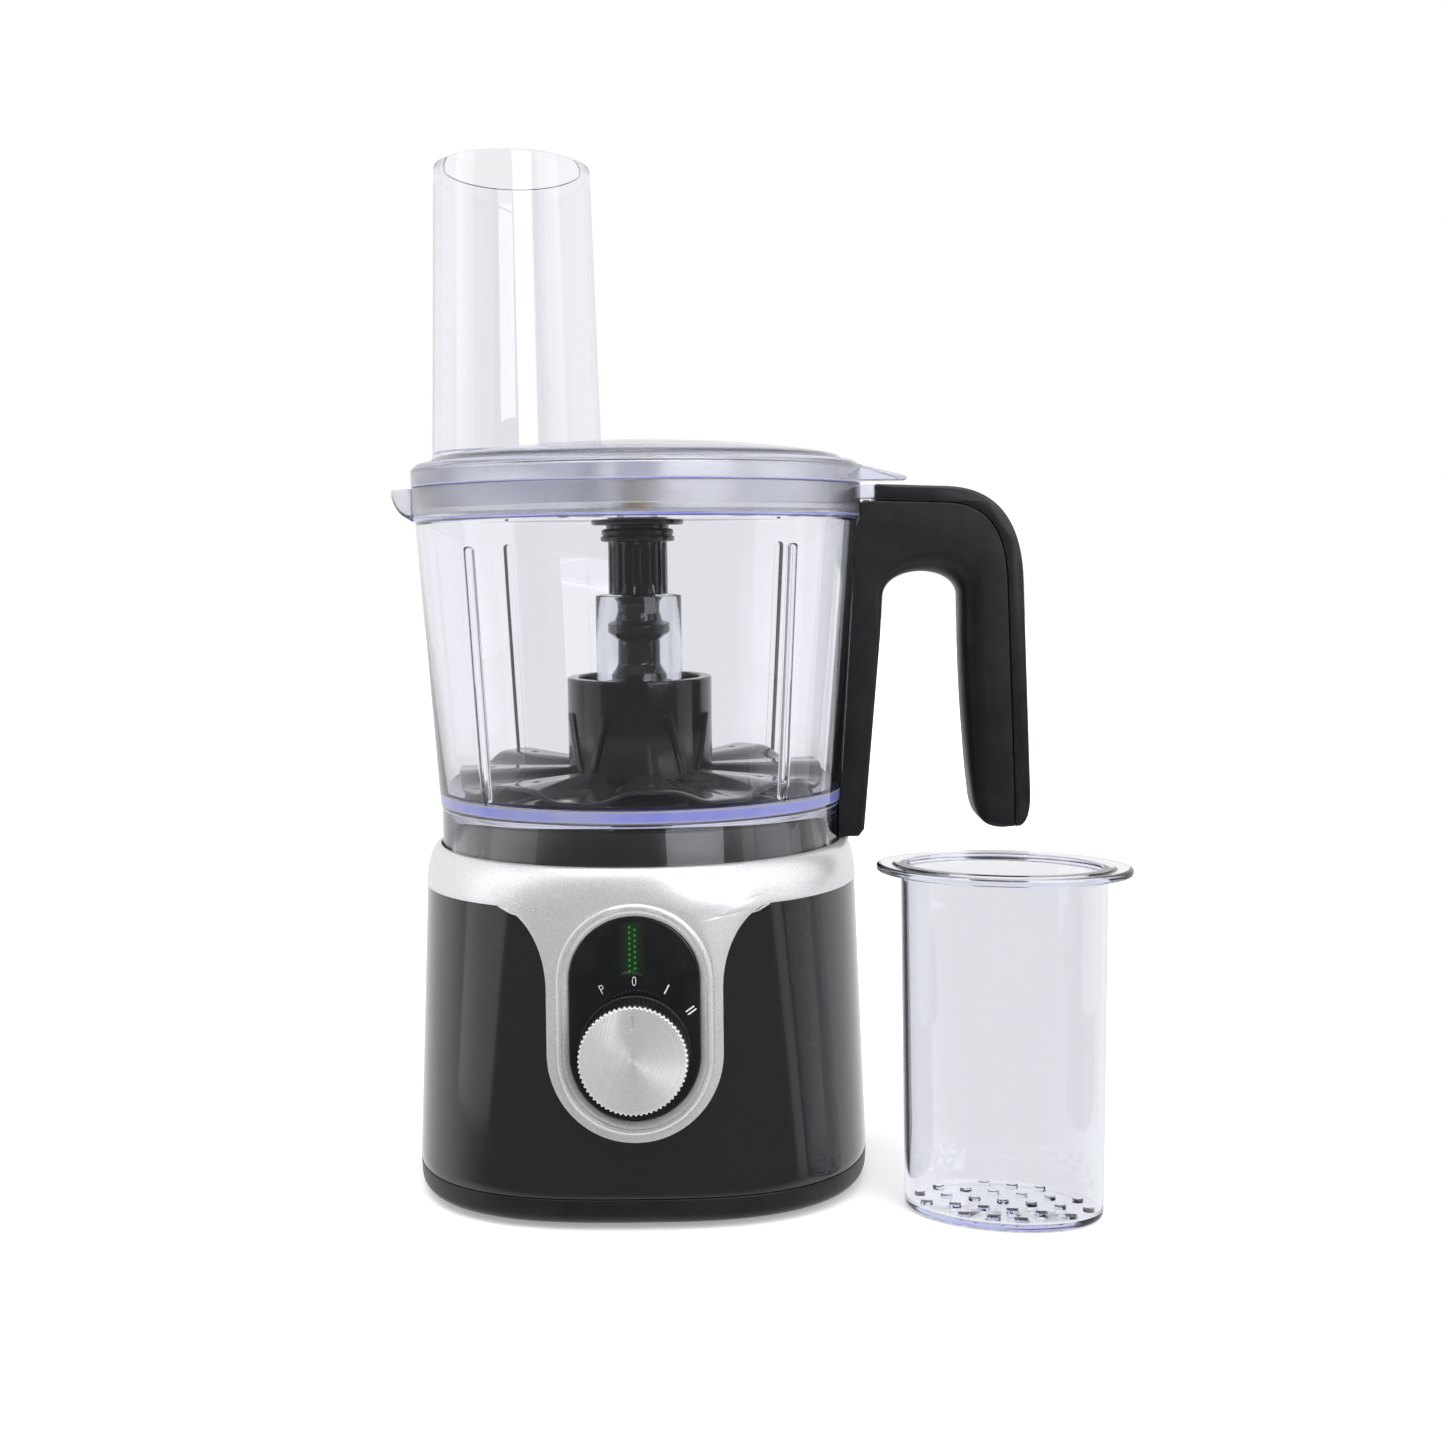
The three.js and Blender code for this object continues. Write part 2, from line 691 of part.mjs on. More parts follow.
function controlPanel() {
  const plate = slab(stadium(panelHalf, panelLow, panelHigh), 0, panelThickness);
  const lipHalf = panelHalf + panelFlange;
  const lip = slab(
    stadium(lipHalf, panelLow - panelFlange, panelHigh - panelFlange),
    panelThickness - panelFlangeThickness, panelThickness,
  );
  const lensHole = box(
    lensLeft - gap, lensRight + gap, -1, panelThickness + 1, lensLow - gap, lensHigh + gap,
  );
  const shaftHole = crossCylinder(switchShaftRadius + gap, -1, panelThickness + 1);
  return plate.add(lip).subtract(lensHole).subtract(shaftHole);
}

function indicatorLens() {
  return box(lensLeft, lensRight, 0, lensThickness, lensLow, lensHigh);
}

function ledBoard() {
  const front = panelThickness + gap;
  return box(
    lensLeft - boardMargin, lensRight + boardMargin, front, front + boardThickness,
    lensLow - boardMargin, lensHigh,
  );
}

function rotarySwitch() {
  const front = panelThickness + gap;
  const half = switchSize / 2;
  const body = box(-half, half, front, front + switchDepth, -half, half);
  return body.subtract(crossCylinder(switchShaftRadius + gap, front - 1, front + switchDepth - 3));
}

function switchShaft() {
  return crossCylinder(
    switchShaftRadius, -knobDepth + knobFloor, panelThickness + switchDepth - 4,
  );
}

function knobBody() {
  const clearance = 0.5;
  const body = crossCylinder(knobRadius, -knobDepth, -clearance, roundSides);
  return body.subtract(crossCylinder(switchShaftRadius + gap, -knobDepth + knobFloor - gap, 1));
}

function knobCap() {
  const back = -knobDepth - gap;
  const face = crossCylinder(capRadius, back - capThickness, back, roundSides);
  const slit = box(
    -pointerWidth / 2, pointerWidth / 2, back - capThickness - 1, back - capThickness + 0.6,
    pointerInner, pointerOuter,
  );
  return face.subtract(slit);
}

// ---- Motor and gears ----

// A spur gear's outline, with a tooth centred on the given angle.
function gearOutline(teeth, centreAngle) {
  const pitchRadius = (gearModule * teeth) / 2;
  const outer = pitchRadius + gearModule * 0.85;
  const root = pitchRadius - gearModule * 1.2;
  const halfTooth = (Math.PI * gearModule) / 4 - gearBacklash / 2;
  const steps = [[root, 1.4], [outer, 0.5], [outer, -0.5], [root, -1.4]];
  const points = [];
  for (let i = 0; i < teeth; i++) {
    const angle = centreAngle + (2 * Math.PI * i) / teeth;
    for (const [radius, share] of steps) {
      const turned = angle - (share * halfTooth) / pitchRadius;
      points.push([radius * Math.cos(turned), radius * Math.sin(turned)]);
    }
  }
  return polygon(points);
}

function mainGear() {
  const top = gearBottomZ + gearThickness;
  const halfPitch = Math.PI / mainGearTeeth;
  const wheel = prism(gearOutline(mainGearTeeth, Math.PI / 2 + halfPitch), gearBottomZ, top);
  const hub = cylinder(outputShaftRadius + gearHubWall, gearBottomZ - 1, top + 2);
  return wheel.add(hub).subtract(cylinder(outputShaftRadius + gap, 0, top + 5));
}

function pinion() {
  const top = gearBottomZ + gearThickness + 0.5;
  const shape = prism(gearOutline(pinionTeeth, -Math.PI / 2), gearBottomZ - 0.5, top);
  return shape.subtract(cylinder(motorShaftRadius + gap, 0, top + 5));
}

function gearPlate() {
  const top = plateBottomZ + plateThickness;
  const plate = box(-plateHalfX, plateHalfX, plateFrontY, plateBackY, plateBottomZ, top);
  const boss = cylinder(bushOuterRadius + gap + bossWall, plateBottomZ - bushLength, top);
  const shaftWay = cylinder(bushOuterRadius + gap, plateBottomZ - bushLength - 1, top + 1);
  const pinionWay = cylinder(motorShaftRadius + 6, plateBottomZ - 1, top + 1)
    .translate([0, motorOffset, 0]);
  const housingInside = bodyForm(bodyWall + 1, seamZ, bodyTopZ);
  return plate.intersect(housingInside).add(boss).subtract(shaftWay).subtract(pinionWay);
}

function outputBush(bottom) {
  return ring(outputShaftRadius + runningGap, bushOuterRadius, bottom, bottom + bushLength);
}

function motorBearing(bottom) {
  return ring(motorShaftRadius + runningGap, bushOuterRadius, bottom, bottom + bracketThickness);
}

function outputShaft() {
  return cylinder(outputShaftRadius, outputShaftBottomZ, outputShaftTopZ);
}

function shaftSeal() {
  return ring(outputShaftRadius + gap, bushOuterRadius + bossWall, wellFloorZ + gap,
    wellFloorZ + gap + sealThickness);
}

// The splined outline that the coupling and its socket share, grown by extra.
function splineOutline(extra) {
  const points = [];
  const steps = 4;
  for (let i = 0; i < couplingSplines * steps; i++) {
    const high = i % steps < steps / 2;
    const radius = couplingRadius + extra - (high ? 0 : couplingSplineDepth);
    const angle = (2 * Math.PI * i) / (couplingSplines * steps);
    points.push([radius * Math.cos(angle), radius * Math.sin(angle)]);
  }
  return polygon(points);
}

function driveCoupling() {
  const stem = prism(splineOutline(0), couplingBottomZ, couplingTopZ);
  const skirt = cylinder(
    couplingSkirtRadius, couplingBottomZ, couplingBottomZ + couplingSkirtHeight,
  );
  const bore = cylinder(outputShaftRadius + gap, couplingBottomZ - 1, outputShaftTopZ + gap);
  return stem.add(skirt).subtract(bore);
}

function statorCore() {
  const top = statorTopZ;
  let core = box(-statorHalfX, statorHalfX, -statorHalfY, statorHalfY, statorBottomZ, top);
  core = core.subtract(cylinder(rotorRadius + airGap, statorBottomZ - 1, top + 1, 32));
  for (const side of [-1, 1]) {
    for (const end of [-1, 1]) {
      const x = side * (coilInner + coilThickness / 2);
      const y = (end * (coilHalfY + coilWindow)) / 2;
      const halfX = coilThickness / 2 + gap;
      const halfY = (coilHalfY - coilWindow) / 2 + gap;
      core = core.subtract(box(
        x - halfX, x + halfX, y - halfY, y + halfY, statorBottomZ - 1, top + 1,
      ));
    }
  }
  return core;
}

function fieldCoil(side) {
  const top = statorTopZ;
  const x0 = side * coilInner;
  const x1 = side * (coilInner + coilThickness);
  const [low, high] = [Math.min(x0, x1), Math.max(x0, x1)];
  const outer = box(
    low, high, -coilHalfY, coilHalfY, statorBottomZ - coilOverhang, top + coilOverhang,
  );
  return outer.subtract(box(
    low - 1, high + 1, -coilWindow, coilWindow, statorBottomZ - gap, top + gap,
  ));
}

function upperBracket() {
  const top = plateBottomZ - gap;
  const bottom = top - bracketThickness - 1.7;
  const plate = box(-statorHalfX, statorHalfX, -statorHalfY, statorHalfY, bottom, top);
  const legBottom = statorTopZ + gap;
  const legs = [-1, 1].map((side) => {
    const edge = side * statorHalfY;
    const inside = edge - side * bracketLeg;
    return box(-statorHalfX, statorHalfX, Math.min(edge, inside), Math.max(edge, inside),
      legBottom, top - 1);
  });
  return joinAll([plate, ...legs]).subtract(cylinder(bushOuterRadius + gap, 0, top + 1));
}

function lowerBracket() {
  const top = statorBottomZ - gap;
  const legInner = statorHalfX - bracketLeg - 1;
  const plateTop = lowerBracketZ + bracketThickness;
  const halfY = lowerBracketHalfY;
  const plate = box(-statorHalfX, statorHalfX, -halfY, halfY, lowerBracketZ, plateTop);
  const legs = [-1, 1].map((side) => {
    const x0 = side * legInner;
    const x1 = side * statorHalfX;
    return box(Math.min(x0, x1), Math.max(x0, x1), -halfY, halfY, lowerBracketZ + 1, top);
  });
  const half = brushWidth / 2 + gap;
  const middle = commutatorBottomZ + commutatorHeight / 2;
  const brushWay = box(-statorHalfX - 1, statorHalfX + 1, -half, half, middle - half, middle + half);
  const shaftWay = cylinder(bushOuterRadius + gap, 0, plateTop + 1);
  return joinAll([plate, ...legs]).subtract(brushWay).subtract(shaftWay);
}

function brushHolder(side) {
  const half = brushWidth / 2;
  const middle = commutatorBottomZ + commutatorHeight / 2;
  const x0 = side * (commutatorRadius + airGap);
  const x1 = side * (statorHalfX + 2);
  return box(Math.min(x0, x1), Math.max(x0, x1), -half, half, middle - half, middle + half);
}

function motorShaft() {
  return cylinder(motorShaftRadius, lowerBracketZ - 4, gearBottomZ + gearThickness + 1);
}

function rotorCore() {
  const top = statorTopZ;
  const windings = rotorRadius - 4;
  const bore = motorShaftRadius + gap;
  return lathe([
    [bore, statorBottomZ - windingBulge], [windings - 2, statorBottomZ - windingBulge],
    [windings, statorBottomZ], [rotorRadius, statorBottomZ], [rotorRadius, top], [windings, top],
    [windings - 2, top + windingBulge], [bore, top + windingBulge],
  ], mediumSides);
}

function commutator() {
  return ring(motorShaftRadius + gap, commutatorRadius, commutatorBottomZ,
    commutatorBottomZ + commutatorHeight, mediumSides);
}

function coolingFan() {
  const top = fanBottomZ + fanThickness;
  const hub = ring(motorShaftRadius + gap, fanHubRadius, fanBottomZ, top);
  const backPlate = ring(
    fanHubRadius - 1, fanRadius, fanBottomZ, fanBottomZ + fanPlateThickness, mediumSides,
  );
  const blades = [];
  for (let i = 0; i < fanBlades; i++) {
    blades.push(box(
      fanHubRadius - 1, fanRadius - 1, -fanBladeHalf, fanBladeHalf, fanBottomZ + 0.5, top,
    )
      .rotate([0, 0, (360 * i) / fanBlades]));
  }
  return joinAll([hub, backPlate, ...blades]);
}

// ---- Bowl, handle and interlock ----

function bowlRadiusAt(z) {
  const start = bowlFloorZ - bowlFloorThickness;
  const share = (z - start) / (bowlWallTopZ - start);
  return bowlBottomRadius + (bowlTopRadius - bowlBottomRadius) * share;
}

function bowlOuterProfile(extra) {
  const floorBottom = bowlFloorZ - bowlFloorThickness;
  return [
    [footSkirtRadius + extra, floorBottom - 1.5], [bowlBottomRadius + extra, floorBottom],
    [bowlTopRadius + extra, bowlWallTopZ], [bowlTopRadius + extra, rimBottomZ - 0.8 - extra],
    [rimRadius + extra, rimBottomZ - extra], [rimRadius + extra, rimTopZ],
  ];
}

function bowlInterior() {
  const inner = (z) => bowlRadiusAt(z) - bowlWall;
  const rimInner = rimRadius - rimWall;
  return lathe([
    [0, bowlFloorZ], [inner(bowlFloorZ) - 1.5, bowlFloorZ], [inner(bowlFloorZ + 3), bowlFloorZ + 3],
    [inner(bowlWallTopZ), bowlWallTopZ], [rimInner, bowlWallTopZ + 4], [rimInner, rimTopZ + 5],
    [0, rimTopZ + 5],
  ]);
}

function handleRail(side, extra) {
  const outline = polygon([
    [bowlRadiusAt(railBottomZ) - 1, railBottomZ - extra],
    [bowlRadiusAt(railBottomZ) + railDepth + extra, railBottomZ - extra],
    [bowlRadiusAt(railTopZ) + railDepth + extra, railTopZ + extra],
    [bowlRadiusAt(railTopZ) - 1, railTopZ + extra],
  ]);
  const middle = side * railSpacing;
  return slab(outline, middle - railWidth / 2 - extra, middle + railWidth / 2 + extra);
}

// The pouring lip, a curved wedge seen from the side and a rounded V from above.
function spout(inset) {
  const rimEdge = -(rimRadius - 6);
  const tip = spoutTipX + inset;
  const side = new THREE.Shape();
  side.moveTo(rimEdge, rimBottomZ - 1 + inset);
  side.lineTo(-rimRadius, rimBottomZ + inset);
  side.quadraticCurveTo(tip + 2, rimBottomZ + 3 + inset, tip, rimTopZ + inset);
  side.lineTo(tip, rimTopZ + 5 * Math.sign(inset));
  side.lineTo(rimEdge, rimTopZ + 5 * Math.sign(inset));
  const half = spoutHalfWidth - inset;
  const plan = new THREE.Shape();
  plan.moveTo(rimEdge, -half);
  plan.lineTo(-rimRadius + 3, -half);
  plan.quadraticCurveTo(tip, -spoutTipHalfWidth + inset, tip, 0);
  plan.quadraticCurveTo(tip, spoutTipHalfWidth - inset, -rimRadius + 3, half);
  plan.lineTo(rimEdge, half);
  return slab(side, -half - 5, half + 5).intersect(prism(plan, rimBottomZ - 5, rimTopZ + 10));
}

function bowlEar(extra) {
  return box(rimRadius - 3, earTipX + extra, -earHalfWidth - extra, earHalfWidth + extra,
    earBottomZ - extra, rimTopZ);
}

function bowl() {
  const floorBottom = bowlFloorZ - bowlFloorThickness;
  const skirtInner = footSkirtRadius - bowlWall;
  const skirtBottom = wellFloorZ + gap;
  const body = lathe([
    [0, floorBottom], [skirtInner, floorBottom], [skirtInner, skirtBottom],
    [footSkirtRadius, skirtBottom], ...bowlOuterProfile(0), [0, rimTopZ],
  ]);
  const rails = [-1, 1].map((side) => handleRail(side, 0));
  const chimney = cylinder(chimneyRadius, floorBottom, chimneyTopZ, mediumSides);
  const ribs = [45, 135, 225, 315].map((angle) => {
    const reach = bowlRadiusAt(ribBottomZ);
    const lean = bowlRadiusAt(ribTopZ) - reach;
    const outline = polygon([
      [reach - bowlWall - ribDepth, ribBottomZ], [reach - 1, ribBottomZ],
      [reach + lean - 1, ribTopZ], [reach + lean - bowlWall - ribDepth, ribTopZ],
    ]);
    return slab(outline, -ribWidth / 2, ribWidth / 2).rotate([0, 0, angle]);
  });
  const shell = joinAll([body, ...rails, spout(0), bowlEar(0)]).subtract(bowlInterior());
  const slot = box(rodTopX - 2, rodTopX + 2, -earSlotHalf, earSlotHalf,
    earBottomZ - 1, rimTopZ + 1);
  return joinAll([shell, chimney, ...ribs])
    .subtract(spout(spoutWall))
    .subtract(cylinder(chimneyBore, floorBottom - 1, chimneyTopZ + 1, mediumSides))
    .subtract(slot);
}

// The handle's outer edge, from its top at the bowl to its lower end, which is rounded on the
// outside only.
function handleOuterEdge(rounded) {
  const outerX = rimRadius + handleReach;
  const shoulderX = outerX - handleLean;
  const curveX = shoulderX - handleShoulder;
  const edge = new THREE.Path();
  edge.moveTo(earTipX + gap, handleTopZ);
  edge.lineTo(curveX, handleTopZ - handleTopFall);
  edge.bezierCurveTo(
    curveX + 0.6 * handleShoulder, handleTopZ - 2, shoulderX - 0.7, handleTopZ - 13.4,
    shoulderX, handleTopZ - handleTopFall - handleShoulderDrop,
  );
  edge.lineTo(outerX, handleBottomZ + gripEndHeight);
  if (rounded) {
    edge.quadraticCurveTo(
      outerX, handleBottomZ + 2, outerX - gripEndInset, handleBottomZ,
    );
  } else {
    edge.lineTo(outerX, handleBottomZ);
  }
  return edge;
}

// Points on the handle's outer edge, moved in by inset.
function handleEdgePoints(inset) {
  const edge = handleOuterEdge(inset === 0);
  const steps = 20;
  const points = [];
  for (let i = 0; i <= steps; i++) {
    const at = edge.getPointAt(i / steps);
    const along = edge.getTangentAt(i / steps);
    points.push([at.x + along.y * inset, at.y - along.x * inset]);
  }
  return points;
}

// Extrudes a handle outline across the handle, with its long edges bevelled.
function handleSlab(outline, edge) {
  const geometry = new THREE.ExtrudeGeometry(outline, {
    depth: 2 * (handleHalfWidth - edge), curveSegments: 6, bevelEnabled: true,
    bevelThickness: edge, bevelSize: edge, bevelOffset: -edge, bevelSegments: 1,
  });
  geometry.rotateX(Math.PI / 2);
  geometry.translate(0, handleHalfWidth - edge, 0);
  return solid(geometry);
}

function handleCover() {
  const outer = handleEdgePoints(0);
  const inner = handleEdgePoints(handleCoverThickness).reverse();
  return handleSlab(polygon([...outer, ...inner]), coverEdge);
}

function handleBody() {
  const outerX = rimRadius + handleReach;
  const archZ = handleTopZ - archDrop;
  const gripX = outerX - gripWidth;
  const legX = rimRadius + legTopWidth;
  const legBottomX = footSkirtRadius + legBottomWidth;
  const legBottomZ = rodBottomZ - gap;
  const outline = polygon(handleEdgePoints(handleCoverThickness + gap));
  outline.bezierCurveTo(
    outerX - 15, handleBottomZ - 1.5, gripX + 6, handleBottomZ - 1,
    gripX + gripNarrowing, handleBottomZ + 14,
  );
  outline.quadraticCurveTo(gripX + 1.1, (handleBottomZ + archZ) / 2, gripX, archZ);
  outline.lineTo(gripX - 0.2, archZ + archSides);
  outline.bezierCurveTo(
    gripX - 0.4, archZ + archRise, legX + 2, archZ + archRise, legX + 1, archZ + archSides,
  );
  outline.lineTo(legX, archZ + 3);
  outline.lineTo(legBottomX, legBottomZ + 3);
  outline.lineTo(legBottomX - 2.3, legBottomZ);
  outline.lineTo(footSkirtRadius - 3, legBottomZ);
  outline.lineTo(bowlRadiusAt(railTopZ) - 5, railTopZ + 8);
  outline.lineTo(rimRadius - 4.5, rimTopZ - 7);
  const whole = handleSlab(outline, handleEdge);
  const bowlSpace = lathe([
    [0, 100], [footSkirtRadius + gap, 100], ...bowlOuterProfile(gap), [0, rimTopZ],
  ]).add(cylinder(rimRadius + gap, rimTopZ - 1, rimTopZ + 20, roundSides));
  const rails = [-1, 1].map((side) => handleRail(side, gap));
  const bore = tiltRod(cylinder(rodRadius + gap + 0.1, -20, rodLength + 20));
  const springBottom = rodLength - springTopFromEnd - springLength - gap;
  const springRoom = tiltRod(cylinder(rodFlangeRadius + 1, springBottom, rodLength + 20));
  return [bowlSpace, ...rails, bowlEar(gap), bore, springRoom]
    .reduce((left, cut) => left.subtract(cut), whole);
}

// The rod lies along the bowl's wall, so it leans a few degrees towards the handle.
const rodLean = Math.atan2(rodTopX - rodBottomX, rodTopZ - rodBottomZ);
const rodLength = Math.hypot(rodTopX - rodBottomX, rodTopZ - rodBottomZ);

function tiltRod(shape) {
  return shape.rotate([0, THREE.MathUtils.radToDeg(rodLean), 0])
    .translate([rodBottomX, 0, rodBottomZ]);
}

function interlockRod() {
  const flangeZ = rodLength - springTopFromEnd + gap;
  return lathe([
    [0, 0], [rodRadius, 0], [rodRadius, flangeZ], [rodFlangeRadius, flangeZ],
    [rodFlangeRadius, flangeZ + 1.5], [rodRadius, flangeZ + 1.5], [rodRadius, rodLength],
    [0, rodLength],
  ], 12);
}

class Helix extends THREE.Curve {
  getPoint(t, target = new THREE.Vector3()) {
    const angle = 2 * Math.PI * springTurns * t;
    const rise = springWire + (springLength - 2 * springWire) * t;
    return target.set(springRadius * Math.cos(angle), springRadius * Math.sin(angle), rise);
  }
}

function interlockSpring() {
  const section = new THREE.Shape();
  section.moveTo(springWire, 0);
  section.lineTo(0, springWire);
  section.lineTo(-springWire, 0);
  section.lineTo(0, -springWire);
  const geometry = new THREE.ExtrudeGeometry(section, {
    steps: springTurns * 8, curveSegments: 1, bevelEnabled: false, extrudePath: new Helix(),
  });
  geometry.translate(0, 0, rodLength - springTopFromEnd - springLength);
  return solid(geometry);
}

function interlockSwitch() {
  const top = bodyTopZ - deckThickness - gap;
  const outer = rodBottomX + plungerRadius;
  const body = box(outer - 14, outer, -6, 6, top - 15, top);
  const plunger = cylinder(plungerRadius, top - 1, rodBottomZ - rodTravel - 2 * gap, 8);
  return body.add(plunger.translate([rodBottomX, 0, 0]));
}

// ---- Lid ----

function lid() {
  const skirtBottom = rimTopZ + gap;
  const spigotRadius = rimRadius - rimWall - spigotGap;
  const spigotInner = spigotRadius - spigotWall;
  const ceiling = lidTopZ - lidWall;
  const bushWay = lidBushOuterRadius + gap;
  // Share of the rim's radius, and drop from the middle, of the dome's outer surface
  const dome = [[0.22, 0.4], [0.55, 2.8], [0.77, 5.8]];
  const domeAt = (drop) => dome.map(([share, fall]) => [share * rimRadius, drop - fall]);
  const shell = lathe([
    [0, lidTopZ], ...domeAt(lidTopZ),
    [rimRadius - 8.5, lidShoulderZ + 0.8], [rimRadius - 2.5, lidShoulderZ],
    [rimRadius, lidShoulderZ - 2.3], [rimRadius, skirtBottom], [spigotRadius, skirtBottom],
    [spigotRadius, spigotBottomZ], [spigotInner, spigotBottomZ],
    [spigotInner, lidShoulderZ - 3], [rimRadius - 10.5, lidShoulderZ - 1.6],
    ...domeAt(ceiling).reverse(), [lidBossRadius, ceiling],
    [lidBossRadius, lidBossBottomZ], [bushWay, lidBossBottomZ], [bushWay, pinTopZ + 2],
    [0, pinTopZ + 2],
  ]);
  const chuteOuter = ovalLathe([
    [0, chuteBottomZ], [chuteBottomHalfX, chuteBottomZ], [chuteBottomHalfX, chuteTaperZ],
    [chuteTopHalfX, chuteTopZ], [0, chuteTopZ],
  ], chuteStretch).translate([chuteX, 0, 0]);
  const chuteInner = ovalLathe([
    [0, chuteBottomZ - 5], [chuteBottomHalfX - chuteWall, chuteBottomZ - 5],
    [chuteBottomHalfX - chuteWall, chuteTaperZ], [chuteTopHalfX - chuteWall, chuteTopZ],
    [chuteTopHalfX - chuteWall, chuteTopZ + 5], [0, chuteTopZ + 5],
  ], chuteStretch).translate([chuteX, 0, 0]);
  const fin = slab(polygon([
    [rimRadius - 2, rimTopZ + finLift], [finTipX, rimTopZ + finLift],
    [finTipX, rimTopZ + finLift + finTipThickness],
    [rimRadius - 2, lidShoulderZ - 1.2],
  ]), -finHalfWidth, finHalfWidth);
  const tab = box(rodTopX - 1.6, rodTopX + 1.6, -earSlotHalf + 0.4, earSlotHalf - 0.4,
    rodTopZ + 0.6, rimTopZ + 2.5);
  return joinAll([shell, chuteOuter, fin, tab]).subtract(chuteInner);
}

function lidBush() {
  return ring(pinRadius + runningGap, lidBushOuterRadius, lidBossBottomZ, pinTopZ);
}

// ---- Tools, which all turn on the spindle ----

function driveSpindle() {
  const flangeTop = spindleFlangeZ + spindleFlangeThickness;
  const shape = lathe([
    [0, socketBottomZ], [socketOuterRadius, socketBottomZ], [socketOuterRadius, socketTopZ],
    [9.5, socketTopZ + 4], [9.5, webZ - 5], [spindleShoulderRadius, webZ - 3],
    [spindleShoulderRadius, webZ], [keyHubRadius, webZ], [keyHubRadius, keyTopZ],
    [11.3, keyTopZ + 4], [spindleRadius, keyTopZ + 11], [spindleRadius, spindleFlangeZ - 3],
    [keyHubRadius, spindleFlangeZ], [keyHubRadius, flangeTop], [spindleRadius + 1, flangeTop + 2],
    [spindleRadius, flangeTop + 4.5], [spindleRadius + 1.4, spindleShoulderZ - 2],
    [spindleRadius + 1.4, spindleShoulderZ], [spindleTopRadius, spindleShoulderZ],
    [spindleTopRadius, pinBottomZ], [pinRadius, pinBottomZ], [pinRadius, pinTopZ - 0.6],
    [0, pinTopZ - 0.6],
  ], mediumSides);
  const key = box(-keyHalfLength, keyHalfLength, -keyHalfWidth, keyHalfWidth, webZ - 1, keyTopZ - 2);
  const socket = prism(splineOutline(gap + 0.1), socketBottomZ - 1, couplingTopZ + 1);
  return shape.add(key).subtract(socket);
}

function emulsifyingDisc() {
  const crest = THREE.MathUtils.degToRad(-90 + waveTurn);
  const innerRadius = cupRadius - 3;
  const rings = [innerRadius + 0.1, (cupRadius + waveDiscRadius) / 2, waveDiscRadius];
  const top = rings.map((radius) => [radius, waveDiscZ]);
  const bottom = rings.map((radius) => [radius, waveDiscZ - waveThickness]).reverse();
  const disc = lathe([...top, ...bottom], waveSides, (x, y) => {
    const share = (Math.hypot(x, y) - innerRadius) / (waveDiscRadius - innerRadius);
    const height = waveInnerHeight + (waveHeight - waveInnerHeight) * share;
    const angle = Math.atan2(y, x) - crest;
    return [x, y, height * Math.cos(waveCount * angle)];
  });
  const cup = lathe([
    [innerRadius, cupBottomZ], [cupRadius, cupBottomZ], [cupRadius, cupTopZ],
    [cupMouthRadius, cupTopZ], [cupMouthRadius, webZ + webThickness + gap],
    [keyHubRadius + gap, webZ + webThickness + gap], [keyHubRadius + gap, webZ + gap],
    [innerRadius, webZ + gap],
  ]);
  const keyWay = box(-keyHalfLength - gap, keyHalfLength + gap, -keyHalfWidth - gap,
    keyHalfWidth + gap, webZ - 1, cupTopZ + 1);
  return disc.add(cup).subtract(keyWay);
}

function spindleSleeve() {
  const bottom = webZ + webThickness + 2 * gap;
  return ring(sleeveRadius - sleeveWall, sleeveRadius, bottom, sleeveTopZ, mediumSides);
}

const cutterDiscRadius = bowlRadiusAt(cutterDiscZ) - bowlWall - cutterClearance;

function discCarrier() {
  const bore = spindleTopRadius + 0.1;
  const ringTop = carrierRingZ + carrierRingThickness;
  const flangeTop = cutterDiscZ - gap;
  return lathe([
    [bore, spindleShoulderZ + gap], [carrierRadius, spindleShoulderZ + gap],
    [carrierRadius, carrierRingZ], [carrierRingRadius, carrierRingZ],
    [carrierRingRadius, ringTop], [carrierNeckRadius, ringTop],
    [carrierNeckRadius, carrierFlangeZ],
    [carrierFlangeRadius, carrierFlangeZ], [carrierFlangeRadius, flangeTop],
    [carrierBossRadius, flangeTop], [carrierBossRadius, clampTopZ], [bore, clampTopZ],
  ], mediumSides);
}

function discClamp() {
  return ring(carrierBossRadius + gap, carrierFlangeRadius, clampTopZ - clampThickness, clampTopZ,
    mediumSides);
}

function slicingDisc() {
  const top = cutterDiscZ + cutterDiscThickness;
  const disc = ring(carrierBossRadius + gap, cutterDiscRadius, cutterDiscZ, top, roundSides);
  const slot = box(
    bladeInner + 2, cutterDiscRadius - bladeMargin - 2, -slotWidth, 0, cutterDiscZ - 1, top + 1,
  );
  return disc.subtract(slot);
}

function slicingBlade() {
  const bottom = cutterDiscZ + cutterDiscThickness + gap;
  return box(
    bladeInner, cutterDiscRadius - bladeMargin, -2, bladeWidth - 2, bottom,
    bottom + bladeThickness,
  );
}

// ---- Pusher ----

